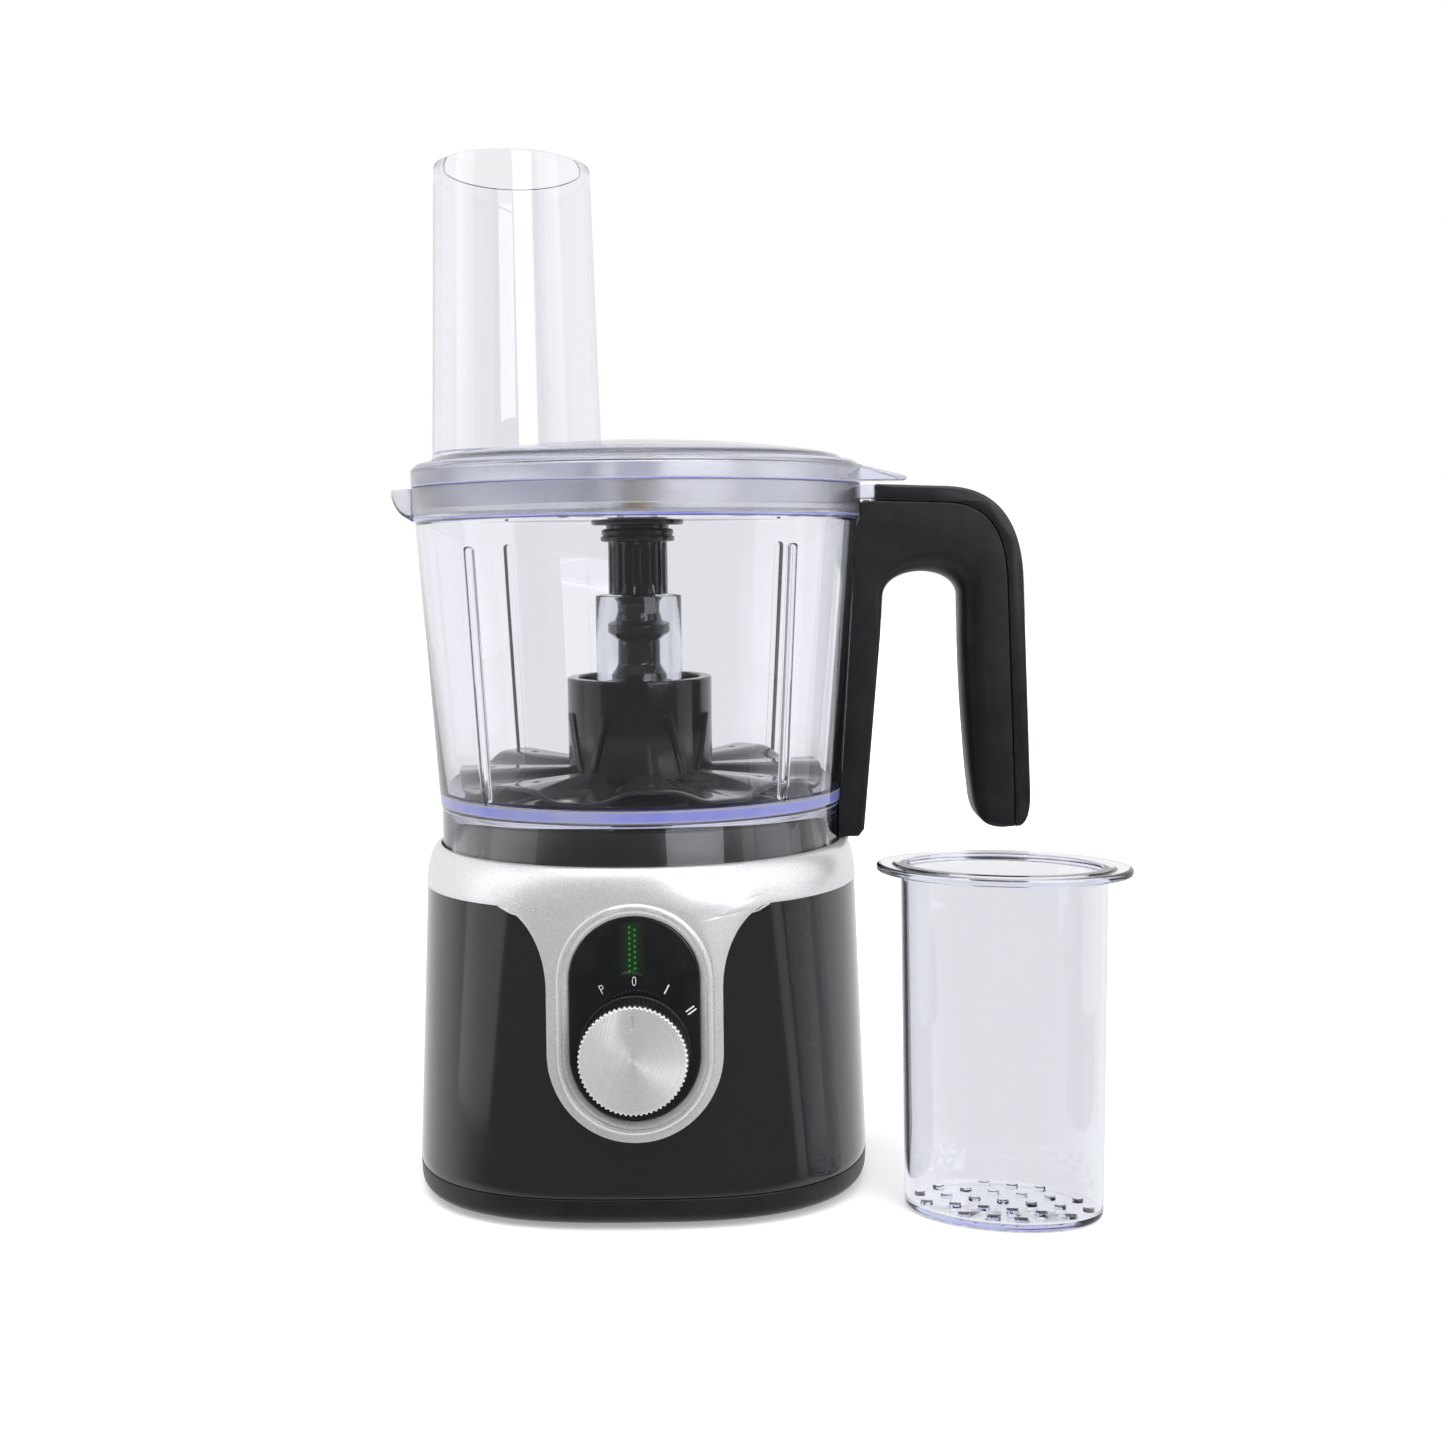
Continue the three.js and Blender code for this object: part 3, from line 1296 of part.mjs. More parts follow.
function pusher() {
  const bottom = -footHeight;
  const top = bottom + pusherHeight;
  const flangeBottom = top - pusherFlangeThickness;
  const flangeReach = pusherTopHalf + pusherFlange;
  const cup = ovalLathe([
    [0, bottom], [pusherBottomHalf - 2, bottom], [pusherBottomHalf, bottom + 2],
    [pusherTopHalf, flangeBottom], [flangeReach, flangeBottom], [flangeReach, top],
    [pusherTopHalf - pusherWall, top], [pusherBottomHalf - pusherWall, bottom + pusherFloor],
    [0, bottom + pusherFloor],
  ], pusherStretch);
  const nubs = [];
  for (let row = -1; row <= 1; row++) {
    for (let column = -2; column <= 2; column++) {
      const x = row * nubPitch * nubRowRatio;
      const y = (column + (row % 2 === 0 ? 0 : 0.5)) * nubPitch;
      nubs.push(cylinder(nubRadius, bottom + 1, bottom + pusherFloor + nubHeight, 8)
        .translate([x, y, 0]));
    }
  }
  // The oval's long side runs along Y, so a quarter turn lays it along X first.
  return joinAll([cup, ...nubs]).rotate([0, 0, 90 + pusherTurn])
    .translate([pusherX, pusherY, 0]);
}

// ---- Assembly ----

const machine = new THREE.Group();
machine.add(
  piece('motor_housing', motorHousing(), glossBlack),
  piece('top_collar', topCollar(), silverPaint),
  piece('bowl_platform', bowlPlatform(), glossBlack),
  piece('bottom_cover', bottomCover(), satinBlack),
  piece('cable_gland', cableGland(), greyRubber),
  piece('interlock_switch', interlockSwitch(), satinBlack),
);

corners(footSpacing, footSpacing).forEach(([x, y], index) => {
  const made = piece(`foot_${index + 1}`, foot(), greyRubber);
  made.position.set(x, y, 0);
  machine.add(made);
});

corners(screwX, screwY).forEach(([x, y], index) => {
  const made = piece(`base_screw_${index + 1}`, baseScrew(), steel);
  made.position.set(x, y, 0);
  machine.add(made);
});

const controls = new THREE.Group();
controls.position.set(0, panelY, knobZ);
controls.rotation.x = -bodyDraft;
controls.add(
  piece('control_panel', controlPanel(), glossBlack),
  piece('indicator_lens', indicatorLens(), smokedLens),
  piece('led_board', ledBoard(), boardGreen),
  piece('rotary_switch', rotarySwitch(), satinBlack),
  piece('switch_shaft', switchShaft(), steel),
  piece('knob_body', knobBody(), satinBlack),
  piece('knob_cap', knobCap(), spunAluminium),
);
machine.add(controls);

machine.add(
  piece('gear_plate', gearPlate(), laminatedSteel),
  piece('output_bush_lower', outputBush(plateBottomZ - bushLength + gap), brass),
  piece('output_bush_upper', outputBush(wellFloorZ - bushLength), brass),
  piece('shaft_seal', shaftSeal(), greyRubber),
  piece('output_shaft', outputShaft(), steel),
  piece('main_gear', mainGear(), whiteNylon),
  piece('drive_coupling', driveCoupling(), satinBlack),
);

const motor = new THREE.Group();
motor.position.set(0, motorOffset, 0);
motor.add(
  piece('stator_core', statorCore(), laminatedSteel),
  piece('field_coil_1', fieldCoil(-1), copper),
  piece('field_coil_2', fieldCoil(1), copper),
  piece('motor_upper_bracket', upperBracket(), laminatedSteel),
  piece('motor_lower_bracket', lowerBracket(), laminatedSteel),
  piece('motor_bearing_upper', motorBearing(plateBottomZ - gap - bracketThickness - 1), brass),
  piece('motor_bearing_lower', motorBearing(lowerBracketZ), brass),
  piece('brush_holder_1', brushHolder(-1), brass),
  piece('brush_holder_2', brushHolder(1), brass),
  piece('motor_shaft', motorShaft(), steel),
  piece('rotor_core', rotorCore(), copper),
  piece('commutator', commutator(), copper),
  piece('cooling_fan', coolingFan(), whiteNylon),
  piece('pinion', pinion(), steel),
);
machine.add(motor);

machine.add(
  piece('bowl', bowl(), clearPlastic),
  piece('handle_body', handleBody(), satinBlack),
  piece('handle_cover', handleCover(), glossBlack),
);

const interlock = new THREE.Group();
interlock.position.set(rodBottomX, 0, rodBottomZ);
interlock.rotation.y = rodLean;
interlock.add(
  piece('interlock_rod', interlockRod(), whiteNylon),
  piece('interlock_spring', interlockSpring(), steel),
);
machine.add(interlock);

machine.add(
  piece('lid', lid(), clearPlastic),
  piece('lid_bush', lidBush(), brass),
  piece('drive_spindle', driveSpindle(), toolPlastic),
  piece('emulsifying_disc', emulsifyingDisc(), toolPlastic),
  piece('spindle_sleeve', spindleSleeve(), clearPlastic),
  piece('disc_carrier', discCarrier(), toolPlastic),
  piece('disc_clamp', discClamp(), toolPlastic),
  piece('slicing_disc', slicingDisc(), steel),
  piece('slicing_blade', slicingBlade(), steel),
  piece('pusher', pusher(), clearPlastic),
);

export default machine;
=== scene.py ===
import json
import math

import bmesh
import bpy
from mathutils import Matrix, Vector


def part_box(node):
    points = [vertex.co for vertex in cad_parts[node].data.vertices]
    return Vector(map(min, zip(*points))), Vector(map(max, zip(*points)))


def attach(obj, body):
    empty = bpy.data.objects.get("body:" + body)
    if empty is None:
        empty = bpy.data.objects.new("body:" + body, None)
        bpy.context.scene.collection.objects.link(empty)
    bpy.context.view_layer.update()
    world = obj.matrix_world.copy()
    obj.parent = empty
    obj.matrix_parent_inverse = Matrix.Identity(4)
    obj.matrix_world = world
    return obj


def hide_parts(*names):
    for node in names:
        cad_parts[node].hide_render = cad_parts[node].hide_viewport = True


# Food processor: looks for the base, bowl, lid, tools and pusher. Lengths are in millimetres
# until a piece is finished, then metres.
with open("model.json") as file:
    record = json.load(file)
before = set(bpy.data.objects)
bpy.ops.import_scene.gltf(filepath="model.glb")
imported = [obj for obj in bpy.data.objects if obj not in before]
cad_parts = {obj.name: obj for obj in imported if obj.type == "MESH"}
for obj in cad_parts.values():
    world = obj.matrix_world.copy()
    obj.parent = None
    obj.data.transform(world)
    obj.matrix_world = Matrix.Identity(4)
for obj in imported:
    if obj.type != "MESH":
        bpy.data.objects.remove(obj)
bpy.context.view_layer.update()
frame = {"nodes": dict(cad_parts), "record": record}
mm = 0.001
turn = 2 * math.pi
edgesOnly = {"segments": 2, "limit_method": "ANGLE", "angle_limit": math.radians(60)}  # for a bevel


def boxOf(node):
    low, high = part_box(node)
    return low / mm, high / mm


def fillet(points, closed=True, segments=4):
    # each point is (across, up) or (across, up, radius of its rounding)
    path = []
    count = len(points)
    for i, point in enumerate(points):
        here = Vector(point[:2])
        radius = point[2] if len(point) > 2 else 0
        if radius == 0 or (not closed and i in (0, count - 1)):
            path.append(tuple(here))
            continue
        before = Vector(points[i - 1][:2]) - here
        after = Vector(points[(i + 1) % count][:2]) - here
        half = before.angle(after) / 2
        reach = min(radius / math.tan(half), before.length * 0.49, after.length * 0.49)
        radius = reach * math.tan(half)
        middle = here + (before.normalized() + after.normalized()).normalized() * radius / math.sin(half)
        first = here + before.normalized() * reach - middle
        last = here + after.normalized() * reach - middle
        begin = math.atan2(first.y, first.x)
        sweep = math.atan2(last.y, last.x) - begin
        sweep = (sweep + math.pi) % turn - math.pi
        for k in range(segments + 1):
            angle = begin + sweep * k / segments
            path.append((middle.x + radius * math.cos(angle), middle.y + radius * math.sin(angle)))
    return path


def revolve(profile, steps=128, closed=True, angle=turn, start=0.0):
    # turns a profile of (radius, height) round the Z axis
    bm = bmesh.new()
    line = [bm.verts.new((r * math.cos(start), r * math.sin(start), z)) for r, z in profile]
    edges = [bm.edges.new(pair) for pair in zip(line, line[1:])]
    if closed:
        edges.append(bm.edges.new((line[-1], line[0])))
    whole = angle == turn
    if not whole and closed:
        bm.faces.new(line)
    bmesh.ops.spin(bm, geom=bm.verts[:] + bm.edges[:] + bm.faces[:], cent=(0, 0, 0), axis=(0, 0, 1),
                   dvec=(0, 0, 0), angle=angle, steps=steps, use_merge=whole)
    bmesh.ops.remove_doubles(bm, verts=bm.verts[:], dist=1e-4)
    bmesh.ops.recalc_face_normals(bm, faces=bm.faces[:])
    return bm


def slab(outline, near, far):
    # a flat outline of (x, z), pushed along Y
    bm = bmesh.new()
    face = bm.faces.new([bm.verts.new((x, near, z)) for x, z in outline])
    pushed = bmesh.ops.extrude_face_region(bm, geom=[face])["geom"]
    moved = [v for v in pushed if isinstance(v, bmesh.types.BMVert)]
    bmesh.ops.translate(bm, vec=(0, far - near, 0), verts=moved)
    bmesh.ops.recalc_face_normals(bm, faces=bm.faces[:])
    return bm


def prism(outline, low, high):
    # a flat outline of (x, y), pushed up
    bm = slab([(x, -y) for x, y in outline], low, high)
    bmesh.ops.rotate(bm, cent=(0, 0, 0), matrix=Matrix.Rotation(math.radians(90), 3, "X"),
                     verts=bm.verts[:])
    return bm


def roundedSlab(outline, halfWidth, radii, segments=5):
    # an outline of (x, z) with a width across Y, its long edges rounded by one radius a point
    count = len(outline)
    normals = []
    area = sum(outline[i - 1][0] * outline[i][1] - outline[i][0] * outline[i - 1][1] for i in range(count))
    side = 1 if area > 0 else -1
    for i in range(count):
        before, after = Vector(outline[i - 1]), Vector(outline[(i + 1) % count])
        along = (after - before).normalized()
        normals.append(Vector((-along.y, along.x)) * side)
    bm = bmesh.new()
    loop = [bm.verts.new((x, 0, z)) for x, z in outline]
    edges = [bm.edges.new((loop[i - 1], loop[i])) for i in range(count)]
    for k in range(segments + 1):
        angle = math.radians(90) * k / segments
        pushed = bmesh.ops.extrude_edge_only(bm, edges=edges)["geom"]
        edges = [e for e in pushed if isinstance(e, bmesh.types.BMEdge)]
        fresh = [v for v in pushed if isinstance(v, bmesh.types.BMVert)]
        renewed = [None] * count
        for v in fresh:
            source = next(e.other_vert(v) for e in v.link_edges if e.other_vert(v) not in fresh)
            i = loop.index(source)
            radius, normal = radii[i], normals[i]
            inward = radius * (1 - math.cos(angle))
            v.co = (outline[i][0] + normal.x * inward, halfWidth - radius + radius * math.sin(angle),
                    outline[i][1] + normal.y * inward)
            renewed[i] = v
        loop = renewed
    bm.faces.new(loop)
    bmesh.ops.mirror(bm, geom=bm.verts[:] + bm.edges[:] + bm.faces[:], axis="Y", merge_dist=1e-4)
    bmesh.ops.remove_doubles(bm, verts=bm.verts[:], dist=1e-4)
    bmesh.ops.recalc_face_normals(bm, faces=bm.faces[:])
    return bm


def place(bm, matrix):
    bmesh.ops.transform(bm, matrix=matrix, verts=bm.verts[:])
    return bm


def shiftBy(x, y, z):
    return Matrix.Translation((x, y, z))


def turnBy(degrees, axis):
    return Matrix.Rotation(math.radians(degrees), 4, axis)


def sameMesh(bm):
    mesh = bpy.data.meshes.new("scratch")
    bm.to_mesh(mesh)
    bm.free()
    return mesh


def join(*parts):
    # several closed shapes in one mesh, left as they are
    whole = bmesh.new()
    for part in parts:
        mesh = sameMesh(part)
        whole.from_mesh(mesh)
        bpy.data.meshes.remove(mesh)
    return whole


def withModifiers(bm, *settings):
    # runs modifiers over a mesh, each given as (kind, values), and returns the result
    mesh = sameMesh(bm)
    holder = bpy.data.objects.new("scratch", mesh)
    bpy.context.scene.collection.objects.link(holder)
    for kind, values in settings:
        modifier = holder.modifiers.new(kind, kind)
        for name, value in values.items():
            setattr(modifier, name, value)
    bpy.context.view_layer.update()
    done = bpy.data.meshes.new_from_object(holder.evaluated_get(bpy.context.evaluated_depsgraph_get()))
    result = bmesh.new()
    result.from_mesh(done)
    bpy.data.objects.remove(holder)
    bpy.data.meshes.remove(mesh)
    bpy.data.meshes.remove(done)
    return result


def cut(bm, tool, operation="DIFFERENCE"):
    mesh = sameMesh(tool)
    other = bpy.data.objects.new("tool", mesh)
    bpy.context.scene.collection.objects.link(other)
    result = withModifiers(bm, ("BOOLEAN", {"object": other, "operation": operation, "solver": "EXACT"}))
    bpy.data.objects.remove(other)
    bpy.data.meshes.remove(mesh)
    return result


def add(bm, tool):
    return cut(bm, tool, "UNION")


def finish(name, bm, material, body, stands=(), crease=34):
    # gives a mesh its shading and material and puts it on its body
    place(bm, Matrix.Scale(mm, 4))
    for face in bm.faces:
        face.smooth = True
    for edge in bm.edges:
        if len(edge.link_faces) == 2:
            edge.smooth = edge.calc_face_angle(0) < math.radians(crease)
    mesh = bpy.data.meshes.new(name)
    bm.to_mesh(mesh)
    bm.free()
    for one in material if isinstance(material, (list, tuple)) else [material]:
        mesh.materials.append(one)
    piece = bpy.data.objects.new(name, mesh)
    bpy.context.scene.collection.objects.link(piece)
    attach(piece, body)
    if stands:
        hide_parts(*stands)
    return piece


def oval(bm, stretch, alongX=False):
    for v in bm.verts:
        radius = math.hypot(v.co.x, v.co.y)
        if radius > 1e-3:
            if alongX:
                v.co.x += stretch * v.co.x / radius
            else:
                v.co.y += stretch * v.co.y / radius
    return bm


def quadratic(a, b, c, steps):
    return [((1 - t) ** 2 * a[0] + 2 * t * (1 - t) * b[0] + t * t * c[0],
             (1 - t) ** 2 * a[1] + 2 * t * (1 - t) * b[1] + t * t * c[1])
            for t in (k / steps for k in range(1, steps + 1))]


def cubic(a, b, c, d, steps):
    return [tuple((1 - t) ** 3 * a[n] + 3 * t * (1 - t) ** 2 * b[n] + 3 * t * t * (1 - t) * c[n] + t ** 3
                  * d[n]
                  for n in (0, 1)) for t in (k / steps for k in range(1, steps + 1))]


def arc(x, z, radius, begin, end, steps):
    # a round stretch about a centre, from one angle to another
    return [(x + radius * math.cos(angle), z + radius * math.sin(angle))
            for angle in (begin + (end - begin) * k / steps for k in range(steps + 1))]


def corners(left, low, right, high, rounding=0):
    return [(left, low, rounding), (right, low, rounding), (right, high, rounding), (left, high, rounding)]


def solidOf(points, steps, segments=4):
    # a solid turned from a line that starts and ends on the axis
    return revolve(fillet(points, False, segments), steps, False)


def pullIn(v, dip):
    # moves a corner towards the axis
    radius = math.hypot(v.co.x, v.co.y)
    v.co.x *= 1 - dip / radius
    v.co.y *= 1 - dip / radius


def straight(a, b, steps):
    return [(a[0] + (b[0] - a[0]) * k / steps, a[1] + (b[1] - a[1]) * k / steps)
            for k in range(1, steps + 1)]


def newMaterial(name, colour, roughness, values=None):
    material = bpy.data.materials.new(name)
    material.use_nodes = True
    tree = material.node_tree
    shader = tree.nodes["Principled BSDF"]
    shader.inputs["Base Color"].default_value = (*colour, 1)
    shader.inputs["Roughness"].default_value = roughness
    for socket, value in (values or {}).items():
        shader.inputs[socket].default_value = value
    return material, tree, shader


def coordinates(tree, centre=(0, 0, 0), stretch=(1, 1, 1)):
    source = tree.nodes.new("ShaderNodeTexCoord")
    mapping = tree.nodes.new("ShaderNodeMapping")
    mapping.inputs["Location"].default_value = [-c * s for c, s in zip(centre, stretch)]
    mapping.inputs["Scale"].default_value = stretch
    tree.links.new(source.outputs["Object"], mapping.inputs["Vector"])
    return mapping.outputs["Vector"]


def noise(tree, where, scale, detail=3.0, roughness=0.55):
    node = tree.nodes.new("ShaderNodeTexNoise")
    node.inputs["Scale"].default_value = scale
    node.inputs["Detail"].default_value = detail
    node.inputs["Roughness"].default_value = roughness
    tree.links.new(where, node.inputs["Vector"])
    return node.outputs["Fac"]


def cells(tree, where, scale):
    node = tree.nodes.new("ShaderNodeTexVoronoi")
    node.inputs["Scale"].default_value = scale
    tree.links.new(where, node.inputs["Vector"])
    return node


def spread(tree, value, low, high, outLow, outHigh, smooth=False):
    node = tree.nodes.new("ShaderNodeMapRange")
    node.interpolation_type = "SMOOTHSTEP" if smooth else "LINEAR"
    for socket, number in zip(("From Min", "From Max", "To Min", "To Max"), (low, high, outLow, outHigh)):
        node.inputs[socket].default_value = number
    tree.links.new(value, node.inputs["Value"])
    return node.outputs["Result"]


def calculate(tree, operation, first, second=None):
    node = tree.nodes.new("ShaderNodeMath")
    node.operation = operation
    for socket, value in zip(node.inputs, (first, second)):
        if isinstance(value, (int, float)):
            socket.default_value = value
        elif value is not None:
            tree.links.new(value, socket)
    return node.outputs["Value"]


def blendColours(tree, factor, first, second):
    node = tree.nodes.new("ShaderNodeMix")
    node.data_type = "RGBA"
    tree.links.new(factor, node.inputs[0])
    for socket, colour in ((node.inputs[6], first), (node.inputs[7], second)):
        if isinstance(colour, tuple):
            socket.default_value = (*colour, 1)
        else:
            tree.links.new(colour, socket)
    return node.outputs[2]


def relief(tree, shader, height, strength, distance):
    node = tree.nodes.new("ShaderNodeBump")
    node.inputs["Strength"].default_value = strength
    node.inputs["Distance"].default_value = distance
    tree.links.new(height, node.inputs["Height"])
    tree.links.new(node.outputs["Normal"], shader.inputs["Normal"])


def mixColours(tree, shader, factor, first, second):
    tree.links.new(blendColours(tree, factor, first, second), shader.inputs["Base Color"])


def cloudyRoughness(tree, shader, where, scale, low, high, detail=3.0):
    # roughness that drifts between two values
    cloud = noise(tree, where, scale, detail)
    tree.links.new(spread(tree, cloud, 0.3, 0.7, low, high), shader.inputs["Roughness"])


def axisValues(tree, where):
    node = tree.nodes.new("ShaderNodeSeparateXYZ")
    tree.links.new(where, node.inputs["Vector"])
    return node.outputs["X"], node.outputs["Y"], node.outputs["Z"]


def scuffs(tree, where, scale, low=0.66, high=0.72):
    # faint handling marks: long thin streaks that a cloth leaves
    mapped = tree.nodes.new("ShaderNodeMapping")
    mapped.inputs["Scale"].default_value = (1, 0.25, 6)
    mapped.inputs["Rotation"].default_value = (0.4, 0.3, 0.9)
    tree.links.new(where, mapped.inputs["Vector"])
    return spread(tree, noise(tree, mapped.outputs["Vector"], scale, 4), low, high, 0, 1)


def plasticMaterial(name, colour, roughness, grain, grainDepth, marks=0.05, values=None, worn=None):
    # moulded plastic: fine skin texture, cloudy roughness and faint scuffs
    material, tree, shader = newMaterial(name, colour, roughness, values)
    where = coordinates(tree)
    cloud = noise(tree, where, 28, 4)
    rough = spread(tree, cloud, 0.3, 0.7, roughness * 0.85, roughness * 1.15)
    rough = calculate(tree, "ADD", rough, calculate(tree, "MULTIPLY", scuffs(tree, where, 60), marks))
    tree.links.new(rough, shader.inputs["Roughness"])
    lighter = worn or tuple(min(1, c * 1.5 + 0.004) for c in colour)
    mixColours(tree, shader, spread(tree, noise(tree, where, 90, 5), 0.35, 0.75, 0, 1), colour, lighter)
    relief(tree, shader, noise(tree, where, grain, 2), grainDepth, 0.0002)
    return material


def clearMaterial(name, frostLow=None, frostHigh=None, tintColour=(0.966, 0.969, 0.979), haze=0.008,
                  depth=12.0,
                  blueRings=()):
    # clear injection-moulded plastic, blue where light runs along inside it
    material, tree, shader = newMaterial(name, tintColour, haze, {"Transmission Weight": 1.0, "IOR": 1.53})
    where = coordinates(tree)
    streaks = coordinates(tree, stretch=(1, 1, 0.12))
    rough = spread(tree, noise(tree, streaks, 60, 4), 0.35, 0.75, haze * 0.5, haze * 1.8)
    rough = calculate(tree, "ADD", rough, calculate(tree, "MULTIPLY", scuffs(tree, where, 70, 0.68, 0.75),
                                                    0.02))
    height = axisValues(tree, where)[2]
    if frostLow is not None:
        frosted = spread(tree, height, frostLow * mm, frostHigh * mm, 0, 1, True)
        rough = calculate(tree, "ADD", rough, calculate(tree, "MULTIPLY", frosted, 0.2))
    tree.links.new(rough, shader.inputs["Roughness"])
    relief(tree, shader, noise(tree, streaks, 45, 2), 0.012, 0.0006)
    if blueRings:
        # light gathers along the corners inside the moulding: (height, half width, strength) of each
        total = 0.0
        for ringZ, half, strength in blueRings:
            distance = calculate(tree, "ABSOLUTE", calculate(tree, "SUBTRACT", height, ringZ * mm))
            band = spread(tree, distance, half * 0.5 * mm, half * mm, strength, 0, True)
            total = calculate(tree, "ADD", total, band)
        total = calculate(tree, "MULTIPLY", total, spread(tree, noise(tree, streaks, 30, 3), 0.3, 0.7, 0.75,
                                                          1.1))
        mixColours(tree, shader, total, tintColour, (0.075, 0.095, 0.5))
        tree.links.new(calculate(tree, "SUBTRACT", 1.0, total), shader.inputs["Transmission Weight"])
    soak = tree.nodes.new("ShaderNodeVolumeAbsorption")
    soak.inputs["Color"].default_value = (0.1, 0.16, 0.8, 1)
    soak.inputs["Density"].default_value = depth
    tree.links.new(soak.outputs["Volume"], tree.nodes["Material Output"].inputs["Volume"])
    return material


def metalMaterial(name, colour, roughness, lines=None, fine=500, values=None, variation=0.82):
    # metal with machining lines or a rolled grain
    material, tree, shader = newMaterial(name, colour, roughness, {"Metallic": 1.0, **(values or {})})
    where = coordinates(tree, stretch=lines or (1, 1, 1))
    grain = noise(tree, where, fine, 4)
    tree.links.new(spread(tree, grain, 0.3, 0.7, roughness * 0.75, roughness * 1.3),
                   shader.inputs["Roughness"])
    darker = tuple(c * variation for c in colour)
    mixColours(tree, shader, spread(tree, noise(tree, coordinates(tree), 40, 5), 0.35, 0.7, 0, 1), darker,
               colour)
    relief(tree, shader, grain, 0.12, 0.0001)
    return material


def silverMaterial():
    # metallic silver lacquer over plastic: fine flake under a clear coat
    material, tree, shader = newMaterial("silverLacquer", (0.7, 0.71, 0.72), 0.3,
                                         {"Metallic": 0.6, "Coat Weight": 0.25, "Coat Roughness": 0.12})
    where = coordinates(tree)
    flake = cells(tree, where, 2600)
    shade = axisValues(tree, flake.outputs["Color"])[0]
    tone = blendColours(tree, spread(tree, shade, 0, 1, 0, 1), (0.62, 0.63, 0.64), (0.77, 0.78, 0.785))
    tree.links.new(tone, shader.inputs["Base Color"])
    cloudyRoughness(tree, shader, where, 35, 0.3, 0.4, 4)
    relief(tree, shader, flake.outputs["Distance"], 0.03, 0.0001)
    return material


def spunMaterial(centreX, centreZ):
    # the knob's face: fine turned rings, brightest along two opposite fans
    material, tree, shader = newMaterial("spunAluminium", (0.88, 0.88, 0.885), 0.26,
                                         {"Metallic": 0.72, "Anisotropic": 0.9})
    x, y, z = axisValues(tree, coordinates(tree, (centreX, 0, centreZ)))
    squares = [calculate(tree, "MULTIPLY", side, side) for side in (x, z)]
    away = calculate(tree, "SQRT", calculate(tree, "ADD", *squares))
    packed = tree.nodes.new("ShaderNodeCombineXYZ")
    tree.links.new(calculate(tree, "MULTIPLY", away, 5200), packed.inputs["X"])
    rings = noise(tree, packed.outputs["Vector"], 1.0, 3)
    tree.links.new(spread(tree, rings, 0.3, 0.7, 0.24, 0.38), shader.inputs["Roughness"])
    mixColours(tree, shader, spread(tree, rings, 0.3, 0.7, 0, 1), (0.8, 0.8, 0.81), (0.93, 0.93, 0.93))
    tangent = tree.nodes.new("ShaderNodeTangent")
    tangent.direction_type = "RADIAL"
    tangent.axis = "Y"
    tree.links.new(tangent.outputs["Tangent"], shader.inputs["Tangent"])
    relief(tree, shader, rings, 0.05, 0.0001)
    return material


def layeredMaterial(name, dark, light, pitch, axis, roughness, metallic):
    # stacked laminations or turns of wire, as fine stripes along one axis
    material, tree, shader = newMaterial(name, light, roughness, {"Metallic": metallic})
    where = coordinates(tree)
    value = axisValues(tree, where)["XYZ".index(axis)]
    wave = calculate(tree, "SINE", calculate(tree, "MULTIPLY", value, turn / (pitch * mm)))
    mixColours(tree, shader, spread(tree, wave, -1, 1, 0, 1), dark, light)
    cloudyRoughness(tree, shader, where, 200, roughness * 0.8, roughness * 1.2, 4)
    relief(tree, shader, wave, 0.3, 0.0003)
    return material


def cupMaterial():
    # gloss black, browner and lighter over the lower half
    material, tree, shader = newMaterial("cupBlack", (0.008, 0.008, 0.012), 0.12,
                                         {"Coat Weight": 0.3, "Coat Roughness": 0.06})
    where = coordinates(tree)
    lower = spread(tree, axisValues(tree, where)[2], 0.171, 0.179, 1, 0, True)
    patchy = calculate(tree, "MULTIPLY", lower, spread(tree, noise(tree, where, 45, 4), 0.3, 0.7, 0.6, 1))
    mixColours(tree, shader, patchy, (0.008, 0.008, 0.012), (0.062, 0.05, 0.046))
    cloudyRoughness(tree, shader, where, 60, 0.09, 0.2, 4)
    relief(tree, shader, noise(tree, where, 500, 2), 0.02, 0.0002)
    return material


def boardMaterial():
    # green circuit board with lighter tracks
    material, tree, shader = newMaterial("circuitBoard", (0.02, 0.16, 0.05), 0.4)
    where = coordinates(tree)
    squares = cells(tree, where, 420)
    squares.distance = "CHEBYCHEV"
    tracks = spread(tree, squares.outputs["Distance"], 0.32, 0.38, 0, 1)
    mixColours(tree, shader, tracks, (0.02, 0.16, 0.05), (0.1, 0.34, 0.12))
    cloudyRoughness(tree, shader, where, 300, 0.32, 0.5)
    return material


def lensMaterial(middleX):
    # dark window with a soft green glow about the lamps
    material, tree, shader = newMaterial("smokedLens", (0.008, 0.012, 0.008), 0.08,
                                         {"Emission Color": (0.02, 0.6, 0.05, 1)})
    where = coordinates(tree, (middleX, 0, 0))
    beside = calculate(tree, "ABSOLUTE", axisValues(tree, where)[0])
    glow = spread(tree, beside, 0.0, 0.0045, 0.03, 0.0, True)
    tree.links.new(calculate(tree, "MULTIPLY", glow, spread(tree, noise(tree, where, 900), 0.3, 0.7, 0.6,
                                                            1.2)),
                   shader.inputs["Emission Strength"])
    cloudyRoughness(tree, shader, where, 120, 0.05, 0.12)
    return material


def lampMaterial():
    material, tree, shader = newMaterial("greenLamp", (0.005, 0.1, 0.01), 0.3,
                                         {"Emission Color": (0.0, 0.42, 0.01, 1)})
    where = coordinates(tree)
    tree.links.new(spread(tree, noise(tree, where, 1500), 0.3, 0.7, 0.22, 0.5),
                   shader.inputs["Emission Strength"])
    return material


def paintMaterial():
    material, tree, shader = newMaterial("whitePrint", (0.8, 0.8, 0.8), 0.5)
    where = coordinates(tree)
    mixColours(tree, shader, noise(tree, where, 1200, 4), (0.66, 0.66, 0.67), (0.9, 0.9, 0.9))
    return material


